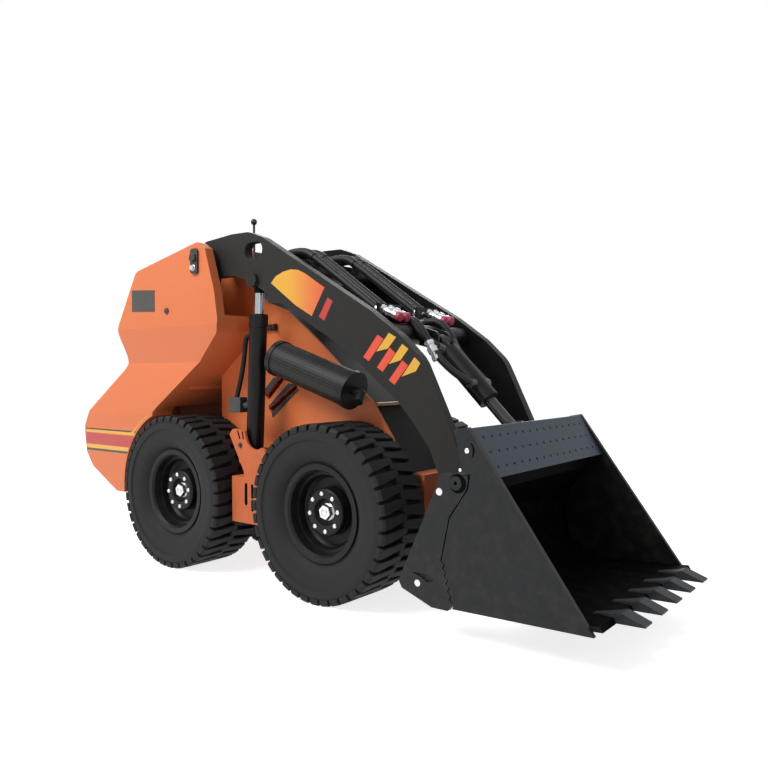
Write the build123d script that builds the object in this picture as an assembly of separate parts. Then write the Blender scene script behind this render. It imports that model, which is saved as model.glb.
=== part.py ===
import math
import os

from build123d import *

# Stand-on mini loader with four wheels, two lift arms and a toothed bucket.
# Millimetres. While modelling, X runs forward from the middle of the wheelbase, Y to the left
# and Z up from the ground. Pieces of one side are drawn on the left and mirrored to the right.

# Wheels
WHEELBASE = 771.0
TYRE_RADIUS = 295.0
TYRE_WIDTH = 216.0
TYRE_OUTER_Y = 358.0
LUG_HEIGHT = 16.0
LUG_COUNT = 40
LUG_SHARE = 0.62
LUG_LEAN = 0.06
SHOULDER_HEIGHT = 53.0
SIDEWALL_FACETS = 30
BEAD_RADIUS = 150.0
BEAD_GAP = 0.2
RIM_HALF_WIDTH = 80.0
RIM_FLANGE_RADIUS = 162.0
RIM_FLANGE = 8.0
BEAD_SEAT = 8.0
RIM_WALL = 12.0
DISC_INNER_Y = -2.0
DISC_THICKNESS = 14.0
DISH_STEP = 9.0
BOSS_RADIUS = 82.0
BOSS_HEIGHT = 14.0
MOTOR_RADIUS = 62.0
MOTOR_TO_DISC = 6.0
SHAFT_RADIUS = 28.0
SHAFT_DEPTH = 20.0
RUNNING_FIT = 0.05
END_GAP = 0.3

# Chassis
WHEEL_GAP = 10.0
FRAME_REAR_X = -640.0
FRAME_FRONT_X = 660.0
FRAME_BOTTOM_Z = 205.0
FRAME_TOP_Z = 420.0
WALL = 10.0
CROSS_BOX_GAP = 14.5
CROSS_BOX_OUTER_Y = 300.0
CROSS_BOX_Z = (212.0, 378.0)
HOOD_SHEET = 10.0
SHEET_FIT = 0.3

# Rear housings, which are the tanks and leg guards beside the operator
HOUSING_TOP_Y = 335.0
HOUSING_WAIST_Y = 300.0
HOUSING_FOOT_Y = 345.0
HOUSING_TAIL_X = -994.0
WAIST_TOP_Z = 934.0
WAIST_Z = 796.0
FOOT_TOP_Z = 594.0
WING_INNER_Y = 250.0
BAY_FRONT_X = -332.0
ARCH_GAP = 17.0
POCKET_OUTER_Y = 298.0
SHELF_Z = 969.0
PANEL = 12.0
DECK_Z = 690.0
APRON_FOOT = (-479.0, 621.0)
APRON_HEAD = (-122.0, 905.0)
APRON = 16.0
HOUSING_BOTTOM_Z = 264.0
PLATFORM_Z = 330.0
PLATFORM_REAR_X = -950.0
PLATFORM_THICKNESS = 26.0
PLATFORM_GAP = 19.5
TOW_HOLE_RADIUS = 12.5
TOW_HOLE_X = -968.0
TOW_PLATE_REAR_X = -992.0
TOW_PLATE = 24.0

# Engine, muffler and controls
ENGINE_SIZE = (200.0, 380.0, 250.0)
MUFFLER_RADIUS = 63.0
MUFFLER_Y = 212.0
MUFFLER_REAR = (80.0, 808.5)
MUFFLER_FRONT = (440.0, 693.0)
MUFFLER_BAND = 20.0
MUFFLER_BAND_RISE = 3.0
OUTLET_RADIUS = 16.0
LEVER_RADIUS = 5.0
KNOB_RADIUS = 13.0

# Lift arms
ARM_PIVOT = (-233.0, 1186.0)
ARM_PIN_RADIUS = 25.0
ARM_INNER_Y = 234.0
ARM_OUTER_Y = 270.0
ARM_REAR_RADIUS = 72.0
ARM_HUB_RADIUS = 48.0
ARM_HUB_Y = (142.0, 290.0)
ARM_HOLE = (15.0, 1197.0)
ARM_HOLE_SIZE = (92.0, 60.0)
CROSS_TUBE = (150.0, 1125.0)
CROSS_TUBE_RADIUS = 38.0
TILT_TUBE = (575.0, 882.0)
TILT_TUBE_RADIUS = 34.0
KEEPER = 9.0

# Lift cylinders, one under each arm
LIFT_Y = 240.0
LIFT_BASE = (-20.0, 440.0)
LIFT_EYE = (15.0, 1090.0)
LIFT_BARREL_RADIUS = 32.0
LIFT_BARREL_LENGTH = 530.0
LIFT_ROD_RADIUS = 18.0
LIFT_ROD_START = 150.0
LIFT_BORE_START = 70.0
LIFT_EYE_RADIUS = 26.0
LIFT_EYE_HALF_WIDTH = 20.0
LIFT_FOOT_RADIUS = 34.0
LIFT_FOOT_HALF_WIDTH = 28.0
LIFT_PIN_RADIUS = 16.0
LIFT_POCKET_RADIUS = 58.0
LIFT_POCKET_Y = (216.0, 263.0)
CHEEK = 10.0
EAR = 10.0

# Tilt cylinder, on the middle line
TILT_BASE = (640.0, 857.0)
TILT_EYE = (922.0, 572.0)
TILT_BARREL_RADIUS = 36.0
TILT_BARREL_LENGTH = 272.0
TILT_NECK = 48.0
TILT_FOOT_RADIUS = 26.0
TILT_FOOT_HALF_WIDTH = 23.0
TILT_ROD_RADIUS = 20.0
TILT_ROD_START = 102.0
TILT_BORE_START = 52.0
TILT_EYE_RADIUS = 22.0
TILT_EYE_HALF_WIDTH = 19.0
TILT_PIN_RADIUS = 14.0
TILT_EAR_Y = (26.0, 38.0)

# Bucket and coupler
BUCKET_PIVOT = (945.0, 453.0)
BUCKET_PIN_RADIUS = 25.0
ARM_END_RADIUS = 52.0
ARM_END_HUB_Y = (206.0, 300.0)
BUCKET_OUTER_Y = 378.0
BUCKET_PLATE = 14.0
SHELL = 10.0
BACK_X = 903.0
BOTTOM_Z = 104.0
CROSS_PLATE = 19.0
CROSS_PLATE_Z = (205.0, 300.0)
GUARD_TOP = (985.0, 602.0)
GUARD_FOOT = (1062.0, 472.0)
SEAM_TOP = (893.0, 229.0)
SEAM_FOOT = (926.0, 104.0)
SEAM_TEETH = 6
SEAM_DEPTH = 9.0
SEAM_GAP = 4.0
PLATE_SLOT = [(792, 182), (841, 185), (872, 176), (867, 165), (848, 160), (827, 171)]
PLATE_SLOT_DEPTH = 8.0
GUARD_ROWS = (0.2, 0.5, 0.8)
GUARD_HOLES = 15
GUARD_PITCH = 46.0
GUARD_HOLE_RADIUS = 4.5
GUARD_HOLE_DEPTH = 3.0
BUCKET_CORNER_RADIUS = 150.0
EDGE_FRONT_X = 1357.0
TOOTH_TIP_X = 1430.0
TOOTH_WIDTH = 50.0
TOOTH_PITCH = 125.0
TOOTH_COUNT = 5

# Hoses along the arms
HOSE_RADIUS = 14.0
HOSE_BEND = 36.0
HOSE_TOP = (160.0, 1195.0)
HOSE_LOOP_X = 50.0
HOSE_LOOP_Z = 1112.0
HOSE_PLATE = 12.0
REAR_PLATE_X = 104.0
REAR_PLATE_Z = (1088.0, 1136.0)
FRONT_PLATE_X = 502.0
FRONT_PLATE_Z = (878.0, 985.0)
FRONT_PLATE_FOOT_Z = (884.0, 896.0)
FRONT_PLATE_Y = (48.0, 170.0)
HOSE_END = (508.0, 952.0)

# Worked out from the sizes above
AXLE_X = WHEELBASE / 2
FRAME_HALF_WIDTH = TYRE_OUTER_Y - TYRE_WIDTH - WHEEL_GAP - WALL
CROSS_BOX_HALF_LENGTH = AXLE_X - TYRE_RADIUS - CROSS_BOX_GAP
PLATFORM_FRONT_X = -AXLE_X - TYRE_RADIUS - PLATFORM_GAP
WHEEL_Y = TYRE_OUTER_Y - TYRE_WIDTH / 2
WALL_OUTER_Y = FRAME_HALF_WIDTH + WALL
BUCKET_INNER_Y = BUCKET_OUTER_Y - BUCKET_PLATE
ORIGIN_X = (HOUSING_TAIL_X + TOOTH_TIP_X) / 2
ARCH_RADIUS = TYRE_RADIUS + ARCH_GAP
SIDEWALL_RADIUS = TYRE_RADIUS - SHOULDER_HEIGHT
SIDES = {"right": -1, "left": 1}

os.makedirs("parts", exist_ok=True)


def save(name, shape):
    export_step(Pos(-ORIGIN_X, 0, 0) * shape, f"parts/{name}.step")


def to_side(shape, side):
    return shape if SIDES[side] > 0 else mirror(shape, about=Plane.XZ)


def outline(corners):
    # A corner is (x, z) or (x, z, rounding radius).
    points = [corner[:2] for corner in corners]
    radii = [corner[2] if len(corner) > 2 else 0 for corner in corners]
    if not any(radii):
        return make_face(Polyline(*points, close=True))
    return make_face(FilletPolyline(*points, radius=radii, close=True))


def slab(corners, y_low, y_high):
    return extrude(Plane.XZ.offset(-y_low) * outline(corners), amount=y_low - y_high)


def block(x, y, z):
    size = [high - low for low, high in (x, y, z)]
    centre = [(low + high) / 2 for low, high in (x, y, z)]
    return Pos(*centre) * Box(*size)


def pin(place, radius, y_low, y_high):
    x, z = place
    return Pos(x, (y_low + y_high) / 2, z) * Rot(90, 0, 0) * Cylinder(radius, y_high - y_low)


def bar(start, end, radius):
    run = Vector(*end) - Vector(*start)
    bottom = (Align.CENTER, Align.CENTER, Align.MIN)
    return Plane(origin=start, z_dir=run) * Cylinder(radius, run.length, align=bottom)


def turned(profile):
    # A profile of (radius, y) corners turned about the Y axis.
    return revolve(outline(profile), axis=Axis.Y)


# Wheels: tyre and rim turn together on a fixed shaft
def lug_ring(turn):
    # One half of the tread: flat roots between lugs that narrow towards their tips.
    pitch = 360 / LUG_COUNT
    root = TYRE_RADIUS - LUG_HEIGHT
    foot = LUG_SHARE * pitch / 2
    tip = foot - LUG_LEAN * pitch
    crest = TYRE_RADIUS / math.cos(math.radians(tip))
    corners = []
    for lug in range(LUG_COUNT):
        for radius, angle in ((root, -foot), (crest, -tip), (crest, tip), (root, foot)):
            corner = Vector(radius, 0, 0).rotate(Axis.Y, turn + lug * pitch + angle)
            corners.append((corner.X, corner.Z))
    return corners


def facet_ring(flats, y):
    # Corners of a regular polygon about the axle, sized across its flats.
    step = 360 / SIDEWALL_FACETS
    corner = Vector(flats / math.cos(math.radians(step / 2)), y, 0)
    return [corner.rotate(Axis.Y, index * step) for index in range(SIDEWALL_FACETS)]


def sidewall_dish(way):
    # Flat-sided hollow between the bead and the shoulder.
    bead = facet_ring(RIM_FLANGE_RADIUS + BEAD_SEAT, way * (RIM_HALF_WIDTH - RIM_FLANGE - BEAD_GAP))
    shoulder = facet_ring(SIDEWALL_RADIUS, way * TYRE_WIDTH / 2)
    rings = [bead, shoulder]
    for index in range(SIDEWALL_FACETS):
        rings.append([bead[index - 1], bead[index], shoulder[index], shoulder[index - 1]])
    return Solid(Shell([Face(Wire.make_polygon(ring)) for ring in rings]))


def tyre():
    half = TYRE_WIDTH / 2
    hole = [(corner.X, corner.Z) for corner in facet_ring(BEAD_RADIUS + BEAD_GAP, 0)]
    body = slab(lug_ring(0), 0, half) + slab(lug_ring(180 / LUG_COUNT), -half, 0)
    return body - slab(hole, -half, half) - sidewall_dish(1) - sidewall_dish(-1)


def rim():
    disc_outer = DISC_INNER_Y + DISC_THICKNESS
    barrel_inner = BEAD_RADIUS - RIM_WALL
    flange_y = RIM_HALF_WIDTH - RIM_FLANGE
    body = turned([
        (0, DISC_INNER_Y),
        (barrel_inner - DISH_STEP, DISC_INNER_Y),
        (barrel_inner, DISC_INNER_Y - DISH_STEP),
        (barrel_inner, -RIM_HALF_WIDTH),
        (RIM_FLANGE_RADIUS, -RIM_HALF_WIDTH),
        (RIM_FLANGE_RADIUS, -flange_y),
        (BEAD_RADIUS, -flange_y),
        (BEAD_RADIUS, flange_y),
        (RIM_FLANGE_RADIUS, flange_y),
        (RIM_FLANGE_RADIUS, RIM_HALF_WIDTH),
        (barrel_inner + RIM_WALL / 2, RIM_HALF_WIDTH),
        (barrel_inner, flange_y),
        (barrel_inner - DISH_STEP / 2, flange_y - 3 * DISH_STEP),
        (barrel_inner - 3 * DISH_STEP / 2, flange_y - 3 * DISH_STEP),
        (barrel_inner - 2 * DISH_STEP, disc_outer + DISH_STEP),
        (barrel_inner - 3 * DISH_STEP, disc_outer),
        (BOSS_RADIUS, disc_outer),
        (BOSS_RADIUS, disc_outer + BOSS_HEIGHT),
        (0, disc_outer + BOSS_HEIGHT),
    ])
    return body - pin((0, 0), SHAFT_RADIUS + RUNNING_FIT, DISC_INNER_Y - 1, DISC_INNER_Y + SHAFT_DEPTH)


def wheel_motor():
    disc_y = WHEEL_Y + DISC_INNER_Y
    place = (0, 0)
    motor = pin(place, MOTOR_RADIUS, FRAME_HALF_WIDTH, disc_y - MOTOR_TO_DISC)
    return motor + pin(place, SHAFT_RADIUS, FRAME_HALF_WIDTH, disc_y + SHAFT_DEPTH - END_GAP)


motors = []
one_tyre = Pos(0, WHEEL_Y, 0) * tyre()
one_rim = Pos(0, WHEEL_Y, 0) * rim()
for end, axle_x in {"front": AXLE_X, "rear": -AXLE_X}.items():
    for side in SIDES:
        seat = Pos(axle_x, 0, TYRE_RADIUS)
        save(f"tyre_{end}_{side}", to_side(seat * one_tyre, side))
        save(f"rim_{end}_{side}", to_side(seat * one_rim, side))
        motors.append(to_side(seat * wheel_motor(), side))
save("wheel_motors", Compound(motors))


# Chassis: a long box with a cross box between the wheels
def chassis_frame():
    beam = block(
        (FRAME_REAR_X, FRAME_FRONT_X),
        (-FRAME_HALF_WIDTH, FRAME_HALF_WIDTH),
        (FRAME_BOTTOM_Z, FRAME_TOP_Z),
    )
    cross_box = block(
        (-CROSS_BOX_HALF_LENGTH, CROSS_BOX_HALF_LENGTH),
        (-CROSS_BOX_OUTER_Y, CROSS_BOX_OUTER_Y),
        CROSS_BOX_Z,
    )
    return beam + cross_box


WALL_TOP_EDGE = [(-64, 1024), (37, 990), (154, 908), (231, 846), (293, 792), (457, 651), (540, 533)]


# Slanted slots under the muffler: corners (x, z)
WALL_SLOTS = [
    [(-75, 666), (7, 739), (26, 727), (-56, 651)],
    [(-58, 618), (84, 712), (97, 698), (-44, 603)],
]


def side_wall():
    plate = slab(
        [(BAY_FRONT_X, CROSS_BOX_Z[1]), (BAY_FRONT_X, 1225), (-150, 1240, 20), (-130, 1075, 20)]
        + WALL_TOP_EDGE
        + [(610, 415, 10), (610, CROSS_BOX_Z[1])],
        FRAME_HALF_WIDTH,
        WALL_OUTER_Y,
    )
    for corners in WALL_SLOTS:
        plate -= slab(corners, FRAME_HALF_WIDTH - 1, WALL_OUTER_Y + 1)
    return plate


def hood():
    top = [(-160, 1100)] + WALL_TOP_EDGE[:-1]
    foot_z = 500
    half = FRAME_HALF_WIDTH - SHEET_FIT
    filled = slab(top + [(457, foot_z), (-160, foot_z)], -half, half)
    hollow = slab(top + [(457, foot_z), (-160, foot_z)], -FRAME_HALF_WIDTH, FRAME_HALF_WIDTH)
    return filled - Pos(-HOOD_SHEET / 2, 0, -HOOD_SHEET) * hollow - block((-400, 800), (-400, 400), (0, 640))


def front_cover():
    half = FRAME_HALF_WIDTH - SHEET_FIT
    return slab(
        [(440, 640), (452, 640), (526, 530), (596, FRAME_TOP_Z), (584, FRAME_TOP_Z), (514, 530)],
        -half,
        half,
    )


save("chassis_frame", chassis_frame())
for side in SIDES:
    save(f"side_wall_{side}", to_side(side_wall(), side))
save("hood", hood())
save("front_cover", front_cover())


# Rear housings: a side outline crossed with a waisted section
def rear_housing():
    side_outline = [
        (-178, 1218, 8), (-220, 1245, 25), (-615, 1165, 45), (-755, WAIST_TOP_Z, 70), (-712, WAIST_Z, 70),
        (-958, FOOT_TOP_Z, 60), (HOUSING_TAIL_X, 530, 15), (HOUSING_TAIL_X, 500, 15), (-981, 415, 30),
        (-933, 355, 40), (-753, HOUSING_BOTTOM_Z), (APRON_FOOT[0] - 21, HOUSING_BOTTOM_Z),
        (APRON_FOOT[0] - 21, APRON_FOOT[1] - 21), APRON_FOOT, (*APRON_HEAD, 40), (-109, 950, 30), (-127, 1059),
    ]
    section = [
        (WALL_OUTER_Y, 100), (HOUSING_FOOT_Y, 100), (HOUSING_FOOT_Y, FOOT_TOP_Z), (HOUSING_WAIST_Y, WAIST_Z),
        (HOUSING_TOP_Y, WAIST_TOP_Z), (HOUSING_TOP_Y, 1300), (WALL_OUTER_Y, 1300),
    ]
    body = slab(side_outline, WALL_OUTER_Y, HOUSING_FOOT_Y)
    waisted = extrude(Plane.YZ.offset(HOUSING_TAIL_X - 10) * outline(section), amount=1000)
    arch = pin((-AXLE_X, TYRE_RADIUS), ARCH_RADIUS, 0, HOUSING_FOOT_Y + 10)
    pocket = block((BAY_FRONT_X, 0), (0, POCKET_OUTER_Y), (SHELF_Z, 1400))
    bay = block((HOUSING_TAIL_X - 10, BAY_FRONT_X), (0, WING_INNER_Y), (0, 1400))
    return (body & waisted) - arch - pocket - bay


def engine_deck():
    # Floor and back panel, with an apron that carries on the housings' sloping underside.
    rise = (APRON_HEAD[1] - APRON_FOOT[1]) / (APRON_HEAD[0] - APRON_FOOT[0])
    apron_top = APRON_FOOT[1] + (BAY_FRONT_X - APRON_FOOT[0]) * rise
    floor_x = APRON_FOOT[0] + (DECK_Z + PANEL - APRON_FOOT[1]) / rise
    apron = slab(
        [
            APRON_FOOT,
            (BAY_FRONT_X, apron_top),
            (BAY_FRONT_X, apron_top + APRON),
            (APRON_FOOT[0], APRON_FOOT[1] + APRON),
        ],
        -WING_INNER_Y,
        WING_INNER_Y,
    )
    floor = block((FRAME_REAR_X, floor_x), (-WING_INNER_Y, WING_INNER_Y), (DECK_Z, DECK_Z + PANEL))
    back = block(
        (FRAME_REAR_X, FRAME_REAR_X + PANEL),
        (-WING_INNER_Y, WING_INNER_Y),
        (DECK_Z, 1060),
    )
    skirt = block(
        (FRAME_REAR_X, FRAME_REAR_X + PANEL),
        (-FRAME_HALF_WIDTH, FRAME_HALF_WIDTH),
        (FRAME_TOP_Z, DECK_Z),
    )
    return floor + apron + back + skirt


def operator_platform():
    step = block(
        (PLATFORM_REAR_X, PLATFORM_FRONT_X),
        (-WING_INNER_Y, WING_INNER_Y),
        (PLATFORM_Z, PLATFORM_Z + PLATFORM_THICKNESS),
    )
    tongue = block(
        (PLATFORM_REAR_X, FRAME_REAR_X),
        (-FRAME_HALF_WIDTH, FRAME_HALF_WIDTH),
        (PLATFORM_Z, PLATFORM_Z + PLATFORM_THICKNESS),
    )
    return step + tongue + tow_plate()


def tow_plate():
    plate = block((TOW_PLATE_REAR_X, PLATFORM_REAR_X + 120), (-40, 40), (PLATFORM_Z - TOW_PLATE, PLATFORM_Z))
    hole = Pos(TOW_HOLE_X, 0, PLATFORM_Z - TOW_PLATE / 2) * Cylinder(TOW_HOLE_RADIUS, TOW_PLATE + 2)
    return plate - hole


def control_console():
    rear = slab(
        [(FRAME_REAR_X, 1060), (-614, 1156, 15), (BAY_FRONT_X, 1214), (BAY_FRONT_X, SHELF_Z),
         (BAY_FRONT_X - PANEL, SHELF_Z), (BAY_FRONT_X - PANEL, 1060)],
        -WING_INNER_Y,
        WING_INNER_Y,
    )
    nose = slab(
        [(BAY_FRONT_X, 1040), (BAY_FRONT_X, 1214), (-192, 1238, 15), (-160, 1200, 20), (-160, 1040)],
        -FRAME_HALF_WIDTH,
        FRAME_HALF_WIDTH,
    )
    return rear + nose


# Levers stand on the console: (x, y, height of the knob, lean towards the front)
LEVERS = [(-279, 0, 1377, 0), (-420, 90, 1262, 10), (-420, -90, 1262, 10)]


def control_levers():
    levers = []
    for x, y, knob_z, lean in LEVERS:
        foot_z = 1214 + (x - BAY_FRONT_X) * (1238 - 1214) / 140 if x > BAY_FRONT_X else 1197
        stem = bar((x, y, foot_z - 6), (x + lean, y, knob_z), LEVER_RADIUS)
        levers.append(stem + Pos(x + lean, y, knob_z) * Sphere(KNOB_RADIUS))
    return levers


for side in SIDES:
    save(f"rear_housing_{side}", to_side(rear_housing(), side))
save("engine_deck", engine_deck())
save("operator_platform", operator_platform())
levers = control_levers()
console = control_console()
for lever in levers:
    console = console - lever
save("control_console", console)
save("control_levers", Compound(levers))


# Engine block on its deck
length, width, height = ENGINE_SIZE
engine_rear_x = FRAME_REAR_X + PANEL + 20
engine_bottom_z = DECK_Z + PANEL
save("engine_block", block(
    (engine_rear_x, engine_rear_x + length),
    (-width / 2, width / 2),
    (engine_bottom_z, engine_bottom_z + height),
))


# Muffler on the right side wall
def muffler():
    rear = Vector(MUFFLER_REAR[0], MUFFLER_Y, MUFFLER_REAR[1])
    front = Vector(MUFFLER_FRONT[0], MUFFLER_Y, MUFFLER_FRONT[1])
    run = (front - rear).normalized()
    body = bar(rear, front, MUFFLER_RADIUS)
    for start in (rear, front - run * MUFFLER_BAND):
        body += bar(start, start + run * MUFFLER_BAND, MUFFLER_RADIUS + MUFFLER_BAND_RISE)
    elbow = front + run * 30
    body += bar(front, elbow, OUTLET_RADIUS)
    body += Pos(elbow) * Sphere(OUTLET_RADIUS)
    body += bar(elbow, elbow + Vector(8, 24, -26), OUTLET_RADIUS)
    for share in (0.25, 0.75):
        seat = rear + (front - rear) * share
        body += block((seat.X - 15, seat.X + 15), (WALL_OUTER_Y, MUFFLER_Y), (seat.Z - 25, seat.Z + 25))
    return body


save("muffler", to_side(muffler(), "right"))


# Lift cylinders: base ears on the cross box, barrel, rod
def lift_base():
    top_z = CROSS_BOX_Z[1]
    outer = slab(
        [(-9, top_z), (CROSS_BOX_HALF_LENGTH, top_z), (105, 478, 8), (86, 490, 8), (20, 468, 50), (-8, 546, 8),
         (-70, 552, 18), (-88, 530, 8), (-12, 400, 10)],
        CROSS_BOX_OUTER_Y - EAR,
        CROSS_BOX_OUTER_Y,
    )
    inner = slab(
        [(-70, top_z), (30, top_z), (10, 476, 20), (-50, 476, 20)],
        LIFT_Y - LIFT_BARREL_RADIUS - 2 * EAR,
        LIFT_Y - LIFT_BARREL_RADIUS - EAR,
    )
    base_pin = pin(LIFT_BASE, LIFT_PIN_RADIUS, LIFT_Y - LIFT_BARREL_RADIUS - 2 * EAR, CROSS_BOX_OUTER_Y)
    return outer + inner + base_pin


def along(base, eye, y):
    # Start of a cylinder and its unit direction, from base pin to rod eye.
    run = Vector(eye[0] - base[0], 0, eye[1] - base[1])
    return Vector(base[0], y, base[1]), run.normalized(), run.length


def cylinder_barrel(base, eye, y, radius, neck, length, foot_radius, foot_half_width):
    start, run, _ = along(base, eye, y)
    body = bar(start + run * neck, start + run * length, radius)
    body += bar(start, start + run * (neck + 5), foot_half_width - 2)
    return body + pin(base, foot_radius, y - foot_half_width, y + foot_half_width)


def bored(barrel, base, eye, y, bore, bore_start, length, pin_radius):
    start, run, _ = along(base, eye, y)
    barrel -= pin(base, pin_radius + RUNNING_FIT, y - 2 * bore, y + 2 * bore)
    return barrel - bar(start + run * bore_start, start + run * (length + 1), bore + RUNNING_FIT)


def cylinder_rod(base, eye, y, radius, rod_start, eye_radius, eye_half_width):
    start, run, length = along(base, eye, y)
    rod = bar(start + run * rod_start, start + run * length, radius)
    return rod + pin(eye, eye_radius, y - eye_half_width, y + eye_half_width)


for side in SIDES:
    save(f"lift_base_{side}", to_side(lift_base(), side))
    lift_barrel = cylinder_barrel(
        LIFT_BASE, LIFT_EYE, LIFT_Y, LIFT_BARREL_RADIUS, 0, LIFT_BARREL_LENGTH,
        LIFT_FOOT_RADIUS, LIFT_FOOT_HALF_WIDTH,
    )
    save(f"lift_barrel_{side}", to_side(bored(
        lift_barrel, LIFT_BASE, LIFT_EYE, LIFT_Y, LIFT_ROD_RADIUS, LIFT_BORE_START, LIFT_BARREL_LENGTH,
        LIFT_PIN_RADIUS,
    ), side))
    save(f"lift_rod_{side}", to_side(cylinder_rod(
        LIFT_BASE, LIFT_EYE, LIFT_Y, LIFT_ROD_RADIUS, LIFT_ROD_START, LIFT_EYE_RADIUS, LIFT_EYE_HALF_WIDTH,
    ), side))

tilt_barrel = cylinder_barrel(
    TILT_BASE, TILT_EYE, 0, TILT_BARREL_RADIUS, TILT_NECK, TILT_BARREL_LENGTH,
    TILT_FOOT_RADIUS, TILT_FOOT_HALF_WIDTH,
)
save("tilt_barrel", bored(
    tilt_barrel, TILT_BASE, TILT_EYE, 0, TILT_ROD_RADIUS, TILT_BORE_START, TILT_BARREL_LENGTH, TILT_PIN_RADIUS,
))
save("tilt_rod", cylinder_rod(
    TILT_BASE, TILT_EYE, 0, TILT_ROD_RADIUS, TILT_ROD_START, TILT_EYE_RADIUS, TILT_EYE_HALF_WIDTH,
))


# Arm pivot pins between side wall and housing, with a keeper plate outside
def pivot_pin():
    return pin(ARM_PIVOT, ARM_PIN_RADIUS, WALL_OUTER_Y, POCKET_OUTER_Y)


def pivot_keeper():
    x, z = ARM_PIVOT
    plate = slab(
        [(x - 20, z + 34, 12), (x + 20, z + 34, 12), (x + 20, z - 60, 12), (x - 20, z - 60, 12)],
        HOUSING_TOP_Y,
        HOUSING_TOP_Y + KEEPER,
    )
    return plate + pin(ARM_PIVOT, 16, HOUSING_TOP_Y, HOUSING_TOP_Y + 2 * KEEPER)


save("arm_pivot_pins", Compound([
    to_side(piece, side) for side in SIDES for piece in (pivot_pin(), pivot_keeper())
]))


# Arms: a bent plate with a hub at each end and a pocket over the rod eye
def arm():
    pivot_x, pivot_z = ARM_PIVOT
    end_x, end_z = BUCKET_PIVOT
    plate = slab(
        [(pivot_x, pivot_z + ARM_REAR_RADIUS), (-100, 1268, 60), (-10, 1266, 60), (61, 1240, 80),
         (556, 953, 300), (675, 870, 150), (755, 795, 120), (786, 732, 60), (884, 528, 30),
         (end_x, end_z + ARM_END_RADIUS), (end_x, end_z - ARM_END_RADIUS + 6), (925, 405), (824, 430, 10),
         (785, 523, 60), (730, 595, 60), (666, 664, 60), (429, 845, 300), (199, 972), (59, 1051, 200),
         (-15, 1092, 100), (-102, 1116, 60), (pivot_x, pivot_z - ARM_REAR_RADIUS)],
        ARM_INNER_Y,
        ARM_OUTER_Y,
    )
    body = plate + pin(ARM_PIVOT, ARM_REAR_RADIUS, ARM_INNER_Y, ARM_OUTER_Y)
    body += pin(BUCKET_PIVOT, ARM_END_RADIUS, *ARM_END_HUB_Y)
    body += pin(ARM_PIVOT, ARM_HUB_RADIUS, *ARM_HUB_Y)
    eye_x, eye_z = LIFT_EYE
    reach = LIFT_POCKET_RADIUS + CHEEK
    body += slab(
        [(eye_x - reach, eye_z - 6), (eye_x - reach, eye_z + reach, 20), (eye_x + reach, eye_z + reach, 20),
         (eye_x + reach, eye_z - 20), (eye_x + 34, eye_z - 34, 10), (eye_x - 34, eye_z - 34, 10)],
        LIFT_POCKET_Y[0] - CHEEK,
        ARM_INNER_Y,
    )
    body -= pin(LIFT_EYE, LIFT_POCKET_RADIUS, *LIFT_POCKET_Y)
    pocket_x = (eye_x - LIFT_POCKET_RADIUS, eye_x + LIFT_POCKET_RADIUS)
    body -= block(pocket_x, LIFT_POCKET_Y, (eye_z - 150, eye_z))
    inner_cap = (LIFT_POCKET_Y[0] - CHEEK - 8, LIFT_POCKET_Y[0] - CHEEK)
    outer_cap = (ARM_OUTER_Y, ARM_OUTER_Y + 14)
    for y_low, y_high in (inner_cap, outer_cap):
        body += pin(LIFT_EYE, LIFT_EYE_RADIUS, y_low, y_high)
    hole_x, hole_z = ARM_HOLE
    long, high = ARM_HOLE_SIZE
    body -= slab(
        [(hole_x - long / 2, hole_z - high / 2, 28), (hole_x + long / 2, hole_z - high / 2, 28),
         (hole_x + long / 2, hole_z + high / 2, 28), (hole_x - long / 2, hole_z + high / 2, 28)],
        ARM_INNER_Y - 1,
        ARM_OUTER_Y + 1,
    )
    body -= pin(ARM_PIVOT, ARM_PIN_RADIUS + RUNNING_FIT, 0, BUCKET_OUTER_Y)
    body -= pin(BUCKET_PIVOT, BUCKET_PIN_RADIUS + RUNNING_FIT, 0, BUCKET_OUTER_Y)
    return body


def tilt_tube():
    tube = pin(TILT_TUBE, TILT_TUBE_RADIUS, -ARM_INNER_Y, ARM_INNER_Y)
    x, z = TILT_BASE
    tube_x, tube_z = TILT_TUBE
    for side in SIDES:
        ear = slab(
            [(tube_x, tube_z + 34), (x + 20, z + 30, 20), (x + 20, z - 30, 20), (tube_x, tube_z - 34)],
            *TILT_EAR_Y,
        )
        tube += to_side(ear, side)
        plate = block((FRONT_PLATE_X, FRONT_PLATE_X + HOSE_PLATE), FRONT_PLATE_Y, FRONT_PLATE_Z)
        plate += block((FRONT_PLATE_X, tube_x), FRONT_PLATE_Y, FRONT_PLATE_FOOT_Z)
        tube += to_side(plate, side)
    return tube + pin(TILT_BASE, TILT_PIN_RADIUS, -TILT_EAR_Y[1], TILT_EAR_Y[1])


def cross_tube():
    tube = pin(CROSS_TUBE, CROSS_TUBE_RADIUS, -ARM_INNER_Y, ARM_INNER_Y)
    reach = FRONT_PLATE_Y[1]
    return tube + block((REAR_PLATE_X, REAR_PLATE_X + HOSE_PLATE), (-reach, reach), REAR_PLATE_Z)


# Hoses loop back from a plate on the cross tube, over it and down to plates on the tilt tube: (y)
HOSES = [-140, -85, 85, 140]


def hose(y):
    top_x, top_z = HOSE_TOP
    end_x, end_z = HOSE_END
    points = [
        (REAR_PLATE_X + HOSE_PLATE / 2, y, HOSE_LOOP_Z),
        (HOSE_LOOP_X, y, HOSE_LOOP_Z),
        (HOSE_LOOP_X, y, top_z),
        (top_x, y, top_z),
        (end_x, y, end_z),
    ]
    path = FilletPolyline(*points, radius=HOSE_BEND)
    start = path.edges()[0]
    return sweep(Plane(origin=start @ 0, z_dir=start % 0) * Circle(HOSE_RADIUS), path=path)


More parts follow.
